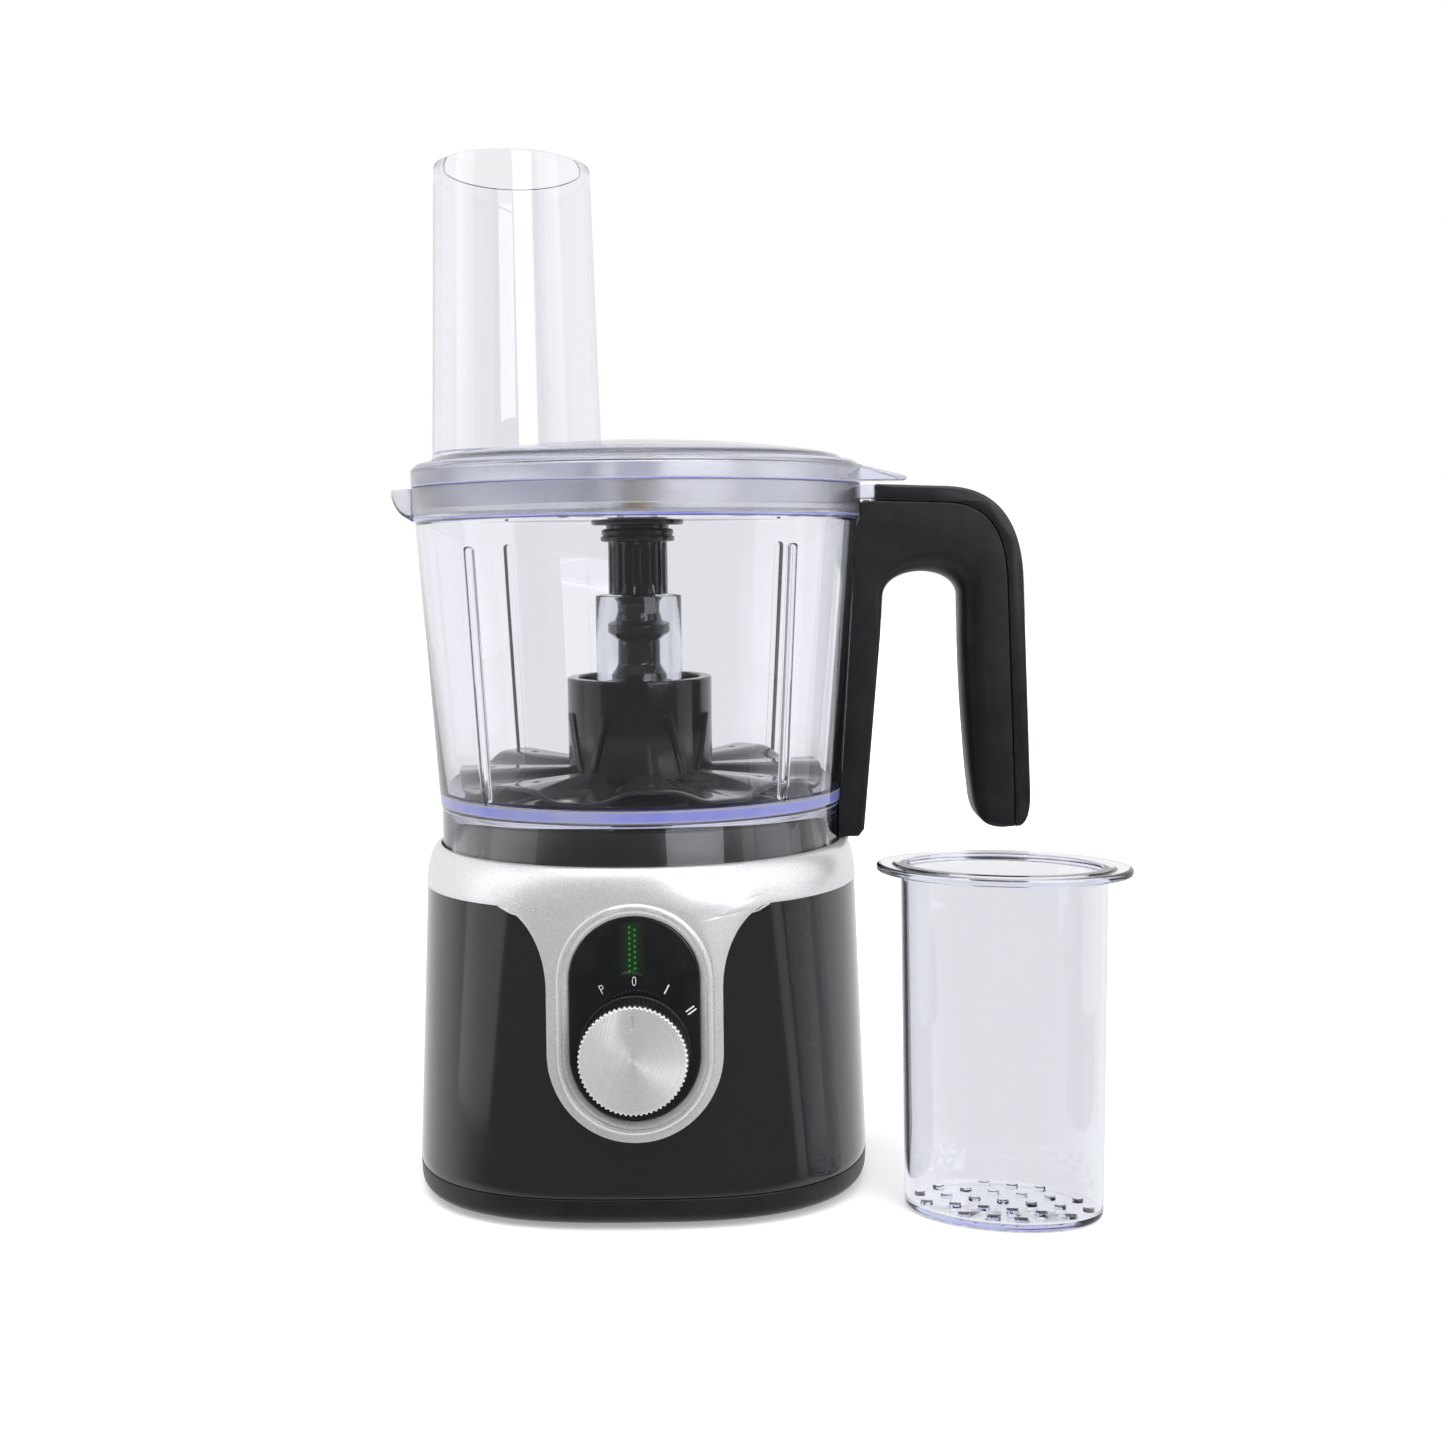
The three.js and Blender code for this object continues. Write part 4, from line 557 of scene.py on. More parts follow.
print("materials")
glossBlack = plasticMaterial("glossBlack", (0.0112, 0.0112, 0.0125), 0.11, 700, 0.015, 0.02,
                             {"Coat Weight": 0.3, "Coat Roughness": 0.06}, (0.0122, 0.0122, 0.0136))
satinBlack = plasticMaterial("satinBlack", (0.0048, 0.0052, 0.0064), 0.42, 2200, 0.16, 0.05,
                             {"Specular IOR Level": 0.36})
panelBlack = plasticMaterial("panelBlack", (0.0045, 0.005, 0.006), 0.07, 500, 0.02, 0.05)
coverBlack = plasticMaterial("coverBlack", (0.0055, 0.006, 0.0072), 0.28, 1500, 0.1, 0.06,
                             {"Specular IOR Level": 0.4})
toolBlack = plasticMaterial("toolBlack", (0.006, 0.006, 0.011), 0.1, 500, 0.015, 0.06,
                            {"Coat Weight": 0.3, "Coat Roughness": 0.05}, (0.009, 0.0085, 0.014))
cupBlack = cupMaterial()
smoky = plasticMaterial("smokyPlastic", (0.045, 0.048, 0.053), 0.1, 400, 0.02, 0.08,
                        {"Coat Weight": 0.5, "Coat Roughness": 0.04}, (0.065, 0.068, 0.075))
deckGrey = plasticMaterial("deckGrey", (0.03, 0.03, 0.035), 0.24, 600, 0.02, 0.05, None,
                           (0.04, 0.04, 0.045))
rubber = plasticMaterial("rubber", (0.02, 0.02, 0.021), 0.8, 1600, 0.3)
whiteNylon = plasticMaterial("whiteNylon", (0.72, 0.71, 0.66), 0.45, 900, 0.1, 0.05,
                             {"Subsurface Weight": 0.1})
silver = silverMaterial()
steel = metalMaterial("steel", (0.6, 0.61, 0.62), 0.24, (1, 1, 8), 400)
brass = metalMaterial("brass", (0.62, 0.46, 0.2), 0.3, (1, 1, 6), 500)
laminated = layeredMaterial("laminatedSteel", (0.16, 0.165, 0.17), (0.4, 0.41, 0.42), 1.0, "Z", 0.42, 0.9)
copper = layeredMaterial("copperWire", (0.22, 0.07, 0.03), (0.72, 0.32, 0.15), 0.9, "Z", 0.3, 0.95)
board = boardMaterial()
clearBowl = clearMaterial("clearBowl", 262.5, 264.5, blueRings=((151.4, 2.7, 0.85), (147.6, 0.4, 0.5),
                                                                (263.2, 0.5, 0.85)))
clearLid = clearMaterial("clearLid", 287.5, 285.5, blueRings=((275.8, 0.5, 0.7), (284.2, 0.45, 0.45),
                                                              (289.2, 0.5, 0.4)))
clearPusher = clearMaterial("clearPusher", None, None, (0.95, 0.955, 0.97))
clearSleeve = clearMaterial("clearSleeve", None, None, (0.93, 0.935, 0.95), 0.04, 8.0)
greenLamp = lampMaterial()
whitePrint = paintMaterial()

lensLow, lensHigh = boxOf("indicator_lens")
lensMiddle = (lensLow.x + lensHigh.x) / 2
capLow, capHigh = boxOf("knob_cap")
smokedLens = lensMaterial(lensMiddle * mm)
spun = spunMaterial(0, (capLow.z + capHigh.z) / 2 * mm)

slotLooks = {"gloss_black": glossBlack, "satin_black": satinBlack, "silver_lacquer": silver,
             "rubber": rubber,
             "steel": steel, "smoked_lens": smokedLens, "circuit_board": board, "spun_aluminium": spun,
             "laminated_steel": laminated, "brass": brass, "copper": copper, "white_nylon": whiteNylon,
             "clear_plastic": clearSleeve, "tool_black": toolBlack}
for row in frame["record"]["subparts"]:
    for holder in frame["nodes"][row["node"]].material_slots:
        holder.material = slotLooks[row["material_slot"]]


print("base")
shell = dict(seamZ=10, topZ=boxOf("motor_housing")[1].z, bottomHalf=90.5, topHalf=87, bottomPower=2.8,
             topPower=2.25, wall=2.4)
skin = dict(steps=240, proud=0.35, topZ=boxOf("top_collar")[1].z, topHalf=82.2, wellRadius=81.5, floorZ=126,
            wall=1.6)
apron = dict(half=32.8, bottomZ=31.5, flareX=51.5, flareTopZ=118, flareZ=89, topZ=124)
window = dict(half=24.3, lowZ=39, highZ=115.5)
shellLean = (shell["bottomHalf"] - shell["topHalf"]) / (shell["topZ"] - shell["seamZ"])


def shellHalf(z):
    return shell["bottomHalf"] - shellLean * (z - shell["seamZ"])


def shellPower(z):
    share = (z - shell["seamZ"]) / (shell["topZ"] - shell["seamZ"])
    return shell["bottomPower"] + (shell["topPower"] - shell["bottomPower"]) * share


def skinHalf(z):
    if z <= shell["topZ"]:
        return shellHalf(z) + skin["proud"]
    share = min(1, (z - shell["topZ"]) / (skin["topZ"] - shell["topZ"]))
    drop = shell["topHalf"] + skin["proud"] - skin["topHalf"]
    lean = shellLean * (z - shell["topZ"]) * (1 - share)
    return shell["topHalf"] + skin["proud"] - drop * (1 - math.sqrt(1 - share ** 2)) - lean


def skinPower(z):
    if z <= shell["topZ"]:
        return shellPower(z)
    share = min(1, (z - shell["topZ"]) / (skin["topZ"] - shell["topZ"]))
    return shell["topPower"] + (2 - shell["topPower"]) * share


def squareUp(bm, powerAt, inside=0):
    # pulls a round form out to a rounded square
    for v in bm.verts:
        radius = math.hypot(v.co.x, v.co.y)
        if radius > inside:
            power = powerAt(v.co.z)
            reach = (abs(v.co.x / radius) ** power + abs(v.co.y / radius) ** power) ** (-1 / power)
            v.co.x *= reach
            v.co.y *= reach
    return bm


def skinFront(x, z):
    half, power = skinHalf(z), skinPower(z)
    return -half * (1 - min(1, abs(x / half)) ** power) ** (1 / power)


def apronEdge():
    # right half of the lower outline, from the collar down to the middle of the bottom
    half, low = apron["half"], apron["bottomZ"]
    start = (apron["flareX"], apron["flareTopZ"])
    path = cubic(start, (start[0] - 7, start[1]), (half + 0.7, start[1] - 10), (half, apron["flareZ"]), 16)
    path += straight(path[-1], (half, low + half), 10)
    path += arc(0, low + half, half, 0, -math.pi / 2, 22)[1:]
    return path


def insideApron(x, z, margin):
    # whether a point lies behind the apron, at least margin from its edge
    for edgeX, edgeZ in apronEdge():
        if edgeZ <= z:
            break
    half = apron["half"]
    middle = apron["bottomZ"] + half
    if z < middle:
        return math.hypot(x, z - middle) < half - margin
    if z < apron["flareZ"]:
        return abs(x) < half - margin
    return abs(x) < edgeX - margin


# black shell, open behind the apron
levels = 36
inner, reach = 3, 3.2  # lip at the bottom, and how far the shell carries on behind the apron
low, high = shell["seamZ"] + 0.15, shell["topZ"] - 0.1
profile = [(shellHalf(low) - inner, low), (shellHalf(low) - 0.5, low), (shellHalf(low) - 0.15, low + 0.15)]
heights = [low + 0.5 + (high - 0.9 - low) * k / levels for k in range(levels + 1)]
profile += [(shellHalf(z), z) for z in heights]
profile += [(shellHalf(high) - 0.4, high), (shellHalf(high) - 7, high)]
housing = squareUp(revolve(profile, 288, False), shellPower)
hidden = []
for face in housing.faces:
    spot = face.calc_center_median()
    if spot.y < 0 and insideApron(spot.x, spot.z, reach):
        hidden.append(face)
bmesh.ops.delete(housing, geom=hidden, context="FACES")
housing = withModifiers(housing, ("SOLIDIFY", {"thickness": shell["wall"], "offset": -1}))
finish("motor_shell", housing, glossBlack, "base", ["motor_housing"])

# bottom cover with its rounded lower edge, screw wells and vents
cover = dict(topZ=9.85, edge=4.2, wall=2.5, screwX=72, screwY=40, wellRadius=4.2, wellDepth=2.9,
             vents=5, ventPitch=12, ventWidth=4, ventLength=34, ventY=40.5)
half = shell["bottomHalf"]
profile = fillet([(0, 0), (half - 0.4, 0, cover["edge"]), (half, cover["topZ"], 0.5),
                  (half - cover["wall"], cover["topZ"]),
                  (half - cover["wall"], cover["wall"]), (0, cover["wall"])], False, 8)
tray = squareUp(revolve(profile, 240, False), lambda z: shell["bottomPower"])
holes = []
for sideX in (-1, 1):
    for sideY in (-1, 1):
        well = solidOf(corners(0, -1, cover["wellRadius"], cover["wellDepth"]), 32)
        holes.append(place(well, shiftBy(sideX * cover["screwX"], sideY * cover["screwY"], 0)))
for k in range(cover["vents"]):
    middle = (k - (cover["vents"] - 1) / 2) * cover["ventPitch"]
    half = cover["ventWidth"] / 2
    end = cover["ventLength"] / 2 - half
    far = arc(middle, cover["ventY"] + end, half, 0, math.pi, 8)
    near = arc(middle, cover["ventY"] - end, half, math.pi + 0.02, turn + 0.02, 8)
    holes.append(prism(far + near, -1, 4))
tray = cut(tray, join(*holes))
finish("bottom_tray", tray, satinBlack, "base", ["bottom_cover"])

# silver collar and apron in one skin
heights = (118, 119.5, 121, 122.5, 124, 125.5, 127, 128.4, 129.6, 130.6, 131.4, 132, 132.5, 132.8, 132.95)
profile = [(skinHalf(z), z) for z in heights]
profile += [(skin["topHalf"] - 0.1, skin["topZ"]), (skin["wellRadius"] + 0.35, skin["topZ"]),
            (skin["wellRadius"], skin["topZ"] - 0.35),
            (skin["wellRadius"], skin["floorZ"])]
collar = squareUp(revolve(profile, skin["steps"], False), skinPower, skin["wellRadius"] + 0.5)
outside = 83.5  # radius past which a face or a corner is on the outside of the collar
hole = []
for face in collar.faces:
    spot = face.calc_center_median()
    onFront = spot.y < 0 and abs(spot.x) < apron["flareX"]
    if onFront and spot.z < apron["topZ"] and math.hypot(*spot.xy) > outside:
        hole.append(face)
bmesh.ops.delete(collar, geom=hole, context="FACES")


def onBottom(v):
    return abs(v.co.z - shell["topZ"]) < 0.01


loop = [e for e in collar.edges if e.is_boundary and e.verts[0].co.y < 0
        and max(abs(v.co.x) for v in e.verts) < apron["flareX"] + 2.5
        and min(math.hypot(*v.co.xy) for v in e.verts) > outside and not all(onBottom(v) for v in e.verts)]
ends = [v for v in {v for e in loop for v in e.verts} if onBottom(v)]
right = max(ends, key=lambda v: v.co.x)
left = min(ends, key=lambda v: v.co.x)
apron["flareX"] = right.co.x
down = apronEdge()
outline = down + [(-x, z) for x, z in reversed(down[:-1])]
chain = [right] + [collar.verts.new((x, skinFront(x, z), z)) for x, z in outline] + [left]
for pair in zip(chain, chain[1:]):
    loop.append(collar.edges.new(pair))
centreLow, centreHigh = window["lowZ"] + window["half"], window["highZ"] - window["half"]


def aimAtWindow(x, z):
    # where a point of the apron's edge looks on the window's middle line, and in which direction
    middle = Vector((0, min(max(z, centreLow), centreHigh)))
    if z <= apron["flareZ"]:
        return middle, (Vector((x, z)) - middle).normalized()
    if z >= apron["topZ"] - 0.01:
        angle = 90 - 40 * min(1, abs(x) / apron["flareX"])
    elif z > apron["flareTopZ"]:
        angle = 45 + 5 * (z - apron["flareTopZ"]) / (apron["topZ"] - apron["flareTopZ"])
    else:
        angle = 45 * ((z - apron["flareZ"]) / (apron["flareTopZ"] - apron["flareZ"])) ** 1.3
    side = 1 if x >= 0 else -1
    return middle, Vector((side * math.cos(math.radians(angle)), math.sin(math.radians(angle))))


# rings of the apron from its edge in to the window: distance from the middle line, depth, share of
# the way still left to the first ring
frameRings = [(29.4, 0, share) for share in (0.84, 0.67, 0.5, 0.33, 0.16, 0)]
frameRings += [(29.0, 0.22, 0), (28.6, 0.0, 0), (28.2, -0.25, 0), (27.2, -0.1, 0), (26.9, 0.22, 0),
               (26.5, 0.22, 0), (24.75, 1.35, 0), (24.35, 1.75, 0), (24.3, 2.3, 0), (24.3, 4.2, 0)]
border = {v for e in loop for v in e.verts}
aims = {v: (Vector((v.co.x, v.co.z)), *aimAtWindow(v.co.x, v.co.z)) for v in border}
for distance, depth, share in frameRings:
    pushed = bmesh.ops.extrude_edge_only(collar, edges=loop)["geom"]
    loop = [e for e in pushed if isinstance(e, bmesh.types.BMEdge)]
    fresh = {v for v in pushed if isinstance(v, bmesh.types.BMVert)}
    for v in fresh:
        source = next(e.other_vert(v) for e in v.link_edges if e.other_vert(v) not in fresh)
        outer, middle, aim = aims[source]
        ringSpot = middle + aim * distance
        spot = ringSpot + (outer - ringSpot) * share
        v.co = (spot.x, skinFront(spot.x, spot.y) + depth, spot.y)
        aims[v] = (outer, middle, aim)
bmesh.ops.recalc_face_normals(collar, faces=collar.faces[:])
front = min(collar.faces, key=lambda f: f.calc_center_median().y)
if front.normal.y > 0:
    bmesh.ops.reverse_faces(collar, faces=collar.faces[:])
collar = withModifiers(collar, ("SOLIDIFY", {"thickness": skin["wall"], "offset": -1}),
                       ("BEVEL", {"width": 0.25, **edgesOnly}))
rodLow, rodHigh = boxOf("interlock_rod")
rodWay = revolve([(0, 112), (1.9, 112), (1.9, 140), (0, 140)], 32, False)
collar = cut(collar, place(rodWay, shiftBy(rodLow.x + 1.5, 0, 0)))
finish("silver_collar", collar, silver, "base", ["top_collar"], 40)

# floor of the collar's well, and the raised black platform that fills the bowl's foot
well = dict(radius=81.4, floorZ=126, bore=9.4, underZ=123.5)
profile = fillet([(well["bore"], well["underZ"]), (well["radius"], well["underZ"]),
                  (well["radius"], well["floorZ"], 0.3), (well["bore"], well["floorZ"], 0.3)])
finish("well_floor", revolve(profile, 160), silver, "base")
low, high = boxOf("bowl_platform")
platform = dict(radius=high.x, wall=2.4, bore=14, rib=1.0)
profile = fillet([(platform["radius"] - platform["wall"], low.z), (platform["radius"], low.z, 0.3),
                  (platform["radius"], high.z, 1.6),
                  (60, high.z, 0.6), (58, high.z - platform["rib"], 0.6),
                  (24, high.z - platform["rib"], 0.6), (22, high.z, 0.6), (platform["bore"], high.z, 0.5),
                  (platform["bore"], high.z - platform["wall"]),
                  (platform["radius"] - platform["wall"], high.z - platform["wall"], 1)])
finish("raised_platform", revolve(profile, 192), deckGrey, "base", ["bowl_platform"])

# feet
foot = dict(radius=9, stem=3, padZ=-0.3)
for number in range(1, 5):
    low, high = boxOf(f"foot_{number}")
    pad = solidOf([(0, low.z), (foot["radius"] - 0.6, low.z, 0.5), (foot["radius"], foot["padZ"], 0.3),
                   (foot["stem"], foot["padZ"]), (foot["stem"], high.z), (0, high.z)], 48)
    place(pad, shiftBy((low.x + high.x) / 2, (low.y + high.y) / 2, 0))
    finish(f"foot_pad_{number}", pad, rubber, "base", [f"foot_{number}"])

# cable gland: ribbed collar round a free bore
gland = dict(z=25, bore=3.3, neck=5, flange=7.9)
low, high = boxOf("cable_gland")
length = high.y - low.y
profile = fillet([(gland["bore"], 0, 0.3), (gland["flange"] - 0.4, 0, 0.3), (gland["flange"] - 0.4, 2, 0.3),
                  (gland["neck"], 2), (gland["neck"], length - 2.4),
                  (gland["flange"], length - 2.4, 0.3), (gland["flange"] - 0.5, length, 0.8),
                  (gland["bore"] + 1.6, length, 0.3), (gland["bore"] + 1.2, length - 0.6, 0.2),
                  (gland["bore"] + 0.6, length - 0.6, 0.2), (gland["bore"], length, 0.3)])
sleeve = revolve(profile, 64)
place(sleeve, shiftBy(0, low.y, gland["z"]) @ turnBy(-90, "X"))
finish("cable_entry", sleeve, rubber, "base", ["cable_gland"])

print("control panel")
draft = math.atan(shellLean)
panel = dict(face=1.8, thickness=7.4, markRadius=25.6, knobRadius=20.8, knobDepth=15.5, teeth=72,
             capRadius=20.1, capDepth=2.6)
knobZ = 65.5
panelY = -shellHalf(knobZ) + panel["face"]
onPanel = shiftBy(0, panelY, knobZ) @ Matrix.Rotation(-draft, 4, "X")


def stadium(half, low, high, steps=24):
    top = arc(0, high - half, half, 0, math.pi, steps)
    return top + [(-x, low + high - z) for x, z in top]


plateOutline = stadium(window["half"] - 0.15, window["lowZ"] - knobZ + 0.15, window["highZ"] - knobZ - 0.15)
plate = roundedSlab(plateOutline, panel["thickness"] / 2, [0.5] * len(plateOutline), 3)
place(plate, onPanel @ shiftBy(0, panel["thickness"] / 2, 0))
finish("panel_window", plate, panelBlack, "base", ["control_panel"])

# lamp bar: two staggered rows of round lamps in a dark lens
lamp = dict(radius=0.46, rows=9, pitch=2.05, low=29.5, left=-1.6, right=0.4, flatness=0.25,
            lensLow=27.6, lensHigh=47.6, lensRounding=1.2, lensDepth=2)
lensOutline = fillet(corners(lensLow.x, lamp["lensLow"], lensHigh.x, lamp["lensHigh"],
                             lamp["lensRounding"]))
lens = roundedSlab(lensOutline, lamp["lensDepth"] / 2, [0.04] * len(lensOutline), 2)
place(lens, onPanel @ shiftBy(0, 0.96, 0))
finish("lamp_lens", lens, smokedLens, "base", ["indicator_lens"])
lamps = []
for column, offset in ((lamp["left"], 0), (lamp["right"], lamp["pitch"] / 2)):
    for k in range(lamp["rows"] if offset == 0 else lamp["rows"] - 1):
        dot = bmesh.new()
        bmesh.ops.create_uvsphere(dot, u_segments=12, v_segments=6, radius=lamp["radius"])
        spot = shiftBy(column, -0.02, lamp["low"] + k * lamp["pitch"] + offset)
        lamps.append(place(dot, onPanel @ spot @ Matrix.Diagonal((1, lamp["flatness"], 1, 1))))
finish("indicator_lamps", join(*lamps), greenLamp, "base")

# printed marks round the knob
marks = dict(thickness=0.12, lift=0.05, size=5.2, narrowing=0.72, strokeWidth=0.5, strokeLength=3.8,
             angleP=-27.6, angleOne=27.9, angleTwo=54.8, pairHalf=0.65)


def roundKnob(angle, lift):
    # where a mark stands on the panel, at an angle from the top of the knob
    angle = math.radians(angle)
    return onPanel @ shiftBy(panel["markRadius"] * math.sin(angle), lift,
                             panel["markRadius"] * math.cos(angle))


def letter(word, angle):
    curve = bpy.data.curves.new("mark", "FONT")
    curve.body = word
    curve.size = marks["size"]
    curve.align_x = "CENTER"
    curve.align_y = "CENTER"
    curve.extrude = marks["thickness"] / 2
    curve.offset = -0.1
    holder = bpy.data.objects.new("mark", curve)
    bpy.context.scene.collection.objects.link(holder)
    bpy.context.view_layer.update()
    mesh = bpy.data.meshes.new_from_object(holder.evaluated_get(bpy.context.evaluated_depsgraph_get()))
    bm = bmesh.new()
    bm.from_mesh(mesh)
    bpy.data.objects.remove(holder)
    bpy.data.meshes.remove(mesh)
    bpy.data.curves.remove(curve)
    turned = turnBy(angle, "Y") @ turnBy(90, "X") @ Matrix.Diagonal((marks["narrowing"], 1, 1, 1))
    return place(bm, roundKnob(angle, -marks["lift"]) @ turned)


def stroke(angle, shift):
    left, right = shift - marks["strokeWidth"] / 2, shift + marks["strokeWidth"] / 2
    end = marks["strokeLength"] / 2
    bar = slab([(left, -end), (right, -end), (right, end), (left, end)], -marks["thickness"], 0)
    return place(bar, roundKnob(angle, 0) @ turnBy(angle, "Y"))


printed = join(letter("P", marks["angleP"]), letter("0", 0), stroke(marks["angleOne"], 0),
               stroke(marks["angleTwo"], -marks["pairHalf"]), stroke(marks["angleTwo"], marks["pairHalf"]))
finish("dial_marks", printed, whitePrint, "base")

# knob: ribbed black barrel, then the turned face with its scalloped rim
def scalloped(radius, depth, teeth, finest=8):
    outline = []
    for k in range(teeth * finest):
        angle = turn * k / (teeth * finest)
        reach = radius - depth * (0.5 - 0.5 * math.cos(teeth * angle))
        outline.append((reach * math.cos(angle), reach * math.sin(angle)))
    return outline


rim = scalloped(panel["knobRadius"] - 0.6, 0.7, panel["teeth"])
barrel = roundedSlab(rim, 6.5, [0.8] * len(rim), 3)
place(barrel, shiftBy(0, -9.0, 0))
skirt = solidOf([(0, 0), (panel["knobRadius"], 0, 0.6), (panel["knobRadius"], 2.1, 0.6), (0, 2.1)], 128)
place(skirt, turnBy(90, "X"))
place(skirt, shiftBy(0, -0.5, 0))
finish("knob_barrel", place(join(barrel, skirt), onPanel), satinBlack, "knob", ["knob_body"])
back = -panel["knobDepth"] - 0.3
front = back - panel["capDepth"]
rim = scalloped(panel["capRadius"], 0.75, 66, 6)
face = roundedSlab(rim, panel["capDepth"] / 2, [0.45] * len(rim), 3)
place(face, shiftBy(0, (back + front) / 2, 0))
slit = roundedSlab(fillet(corners(-0.45, 11.2, 0.45, 16.8, 0.4)), 0.9, [0.3] * 20, 2)
place(slit, shiftBy(0, front, 0))
face = cut(face, slit)
finish("knob_face", place(face, onPanel), spun, "knob", ["knob_cap"])

print("bowl")
bowlLow, bowlHigh = boxOf("bowl")
rimTop = bowlHigh.z
bowl = dict(steps=192, footRadius=81.1, footZ=126.3, floorZ=152.2, floorThickness=3, wallTopZ=261,
            bottomRadius=81.7, topRadius=89,
            wall=2.6, rimRadius=90.5, rimZ=263.4, rimWall=2.8, chimneyRadius=15.5, chimneyBore=13,
            chimneyZ=172,
            ribWidth=4, ribDepth=2.4, ribLow=156, ribHigh=250)
floorUnder = bowl["floorZ"] - bowl["floorThickness"]


def wallAt(z):
    share = (z - floorUnder) / (bowl["wallTopZ"] - floorUnder)
    return bowl["bottomRadius"] + (bowl["topRadius"] - bowl["bottomRadius"]) * share


profile = fillet([
    (bowl["footRadius"], bowl["footZ"], 0.5), (bowl["footRadius"], floorUnder - 1.4),
                  (wallAt(floorUnder), floorUnder, 0.4),
    (wallAt(bowl["wallTopZ"]), bowl["wallTopZ"] + 0.6), (bowl["rimRadius"], bowl["rimZ"], 0.5),
                  (bowl["rimRadius"], rimTop, 0.6),
    (bowl["rimRadius"] - bowl["rimWall"], rimTop, 0.6),
                  (bowl["rimRadius"] - bowl["rimWall"], bowl["wallTopZ"] + 4, 1),
    (bowl["topRadius"] - bowl["wall"], bowl["wallTopZ"], 1),
                  (wallAt(bowl["floorZ"]) - bowl["wall"], bowl["floorZ"], 3.5),
    (bowl["chimneyRadius"], bowl["floorZ"], 1.5), (bowl["chimneyRadius"], bowl["chimneyZ"], 0.6),
    (bowl["chimneyBore"], bowl["chimneyZ"], 0.6), (bowl["chimneyBore"], floorUnder, 0.4),
    (bowl["footRadius"] - bowl["wall"], floorUnder, 1), (bowl["footRadius"] - bowl["wall"], bowl["footZ"],
                                                         0.5)], True, 4)
jug = revolve(profile, bowl["steps"])
# ribs inside the wall, round at both ends
for angle in (45, 135, 225, 315):
    lowX, highX = wallAt(bowl["ribLow"]) - bowl["wall"], wallAt(bowl["ribHigh"]) - bowl["wall"]
    half = bowl["ribWidth"] / 2
    bar = arc(0, bowl["ribHigh"], half, 0, math.pi, 10) + arc(0, bowl["ribLow"], half, math.pi, turn, 10)
    rib = roundedSlab(bar, (bowl["ribDepth"] + 1) / 2, [0.8] * len(bar), 3)
    place(rib, turnBy(90, "Z"))
    for v in rib.verts:
        share = (v.co.z - bowl["ribLow"]) / (bowl["ribHigh"] - bowl["ribLow"])
        v.co.x += lowX + (highX - lowX) * share - (bowl["ribDepth"] + 1) / 2 + 1
    jug = add(jug, place(rib, turnBy(angle, "Z")))

# pouring lip
lip = dict(tipX=bowlLow.x, half=17, tipHalf=6, wall=1.8)


def lipShape(inset, over):
    rimEdge, tip = -(bowl["rimRadius"] - (6 if inset else 1.4)), lip["tipX"] + inset
    base = bowl["rimZ"] + inset
    side = [(rimEdge, base - 1), (-bowl["rimRadius"], base)]
    side += quadratic((-bowl["rimRadius"], base), (tip + 2, base + 3), (tip, rimTop - 0.6), 12)
    side += [(tip, rimTop + over), (rimEdge, rimTop + over)]
    half = lip["half"] - inset
    near = rimEdge - 0.5
    plan = [(rimEdge, -half), (near, -half)] + quadratic((near, -half), (tip, -lip["tipHalf"] + inset),
                                                         (tip, 0), 14)
    plan += quadratic((tip, 0), (tip, lip["tipHalf"] - inset), (near, half), 14) + [(rimEdge, half)]
    return cut(slab(side, -half - 5, half + 5), prism(plan, bowl["rimZ"] - 5, rimTop + 10), "INTERSECT")


jug = cut(add(jug, lipShape(0, -0.05)), lipShape(lip["wall"], 5))
# ear and rails that the handle is fixed to
ear = dict(tipX=bowlHigh.x, half=8, lowZ=rimTop - 5.4)
earOutline = fillet(corners(bowl["rimRadius"] - 2, ear["lowZ"], ear["tipX"], rimTop - 0.05, 0.8))
earShape = roundedSlab(earOutline, ear["half"], [0.6] * 20, 3)
jug = add(jug, earShape)
rails = dict(spacing=6.5, width=3, depth=5, lowZ=158, highZ=232, slack=0.4)


def railOutline(into, slack):
    # leaning strip along the wall, which reaches into it and has some slack on its other sides
    lowWall, highWall = wallAt(rails["lowZ"]), wallAt(rails["highZ"])
    lowZ, highZ, depth = rails["lowZ"] - slack, rails["highZ"] + slack, rails["depth"] + slack
    return [(lowWall - into, lowZ), (lowWall + depth, lowZ), (highWall + depth, highZ),
            (highWall - into, highZ)]


for side in (-1, 1):
    rail = roundedSlab(railOutline(1, 0), rails["width"] / 2, [0.4] * 4, 2)
    jug = add(jug, place(rail, shiftBy(0, side * rails["spacing"], 0)))
# bayonet grooves in the rim
grooves = ((-109, -91, 267.2, 269.0), (-89, -75, 268.6, 270.8))  # first and last angle, low and high
inside, outside = bowl["rimRadius"] - 0.4, bowl["rimRadius"] + 0.02
for begin, end, lowZ, highZ in grooves:
    section = [(inside, lowZ), (outside, lowZ), (outside, highZ), (inside, highZ)]
    jug = cut(jug, revolve(section, 24, True, math.radians(end - begin), math.radians(begin)))
finish("clear_bowl", jug, clearBowl, "bowl", ["bowl"])

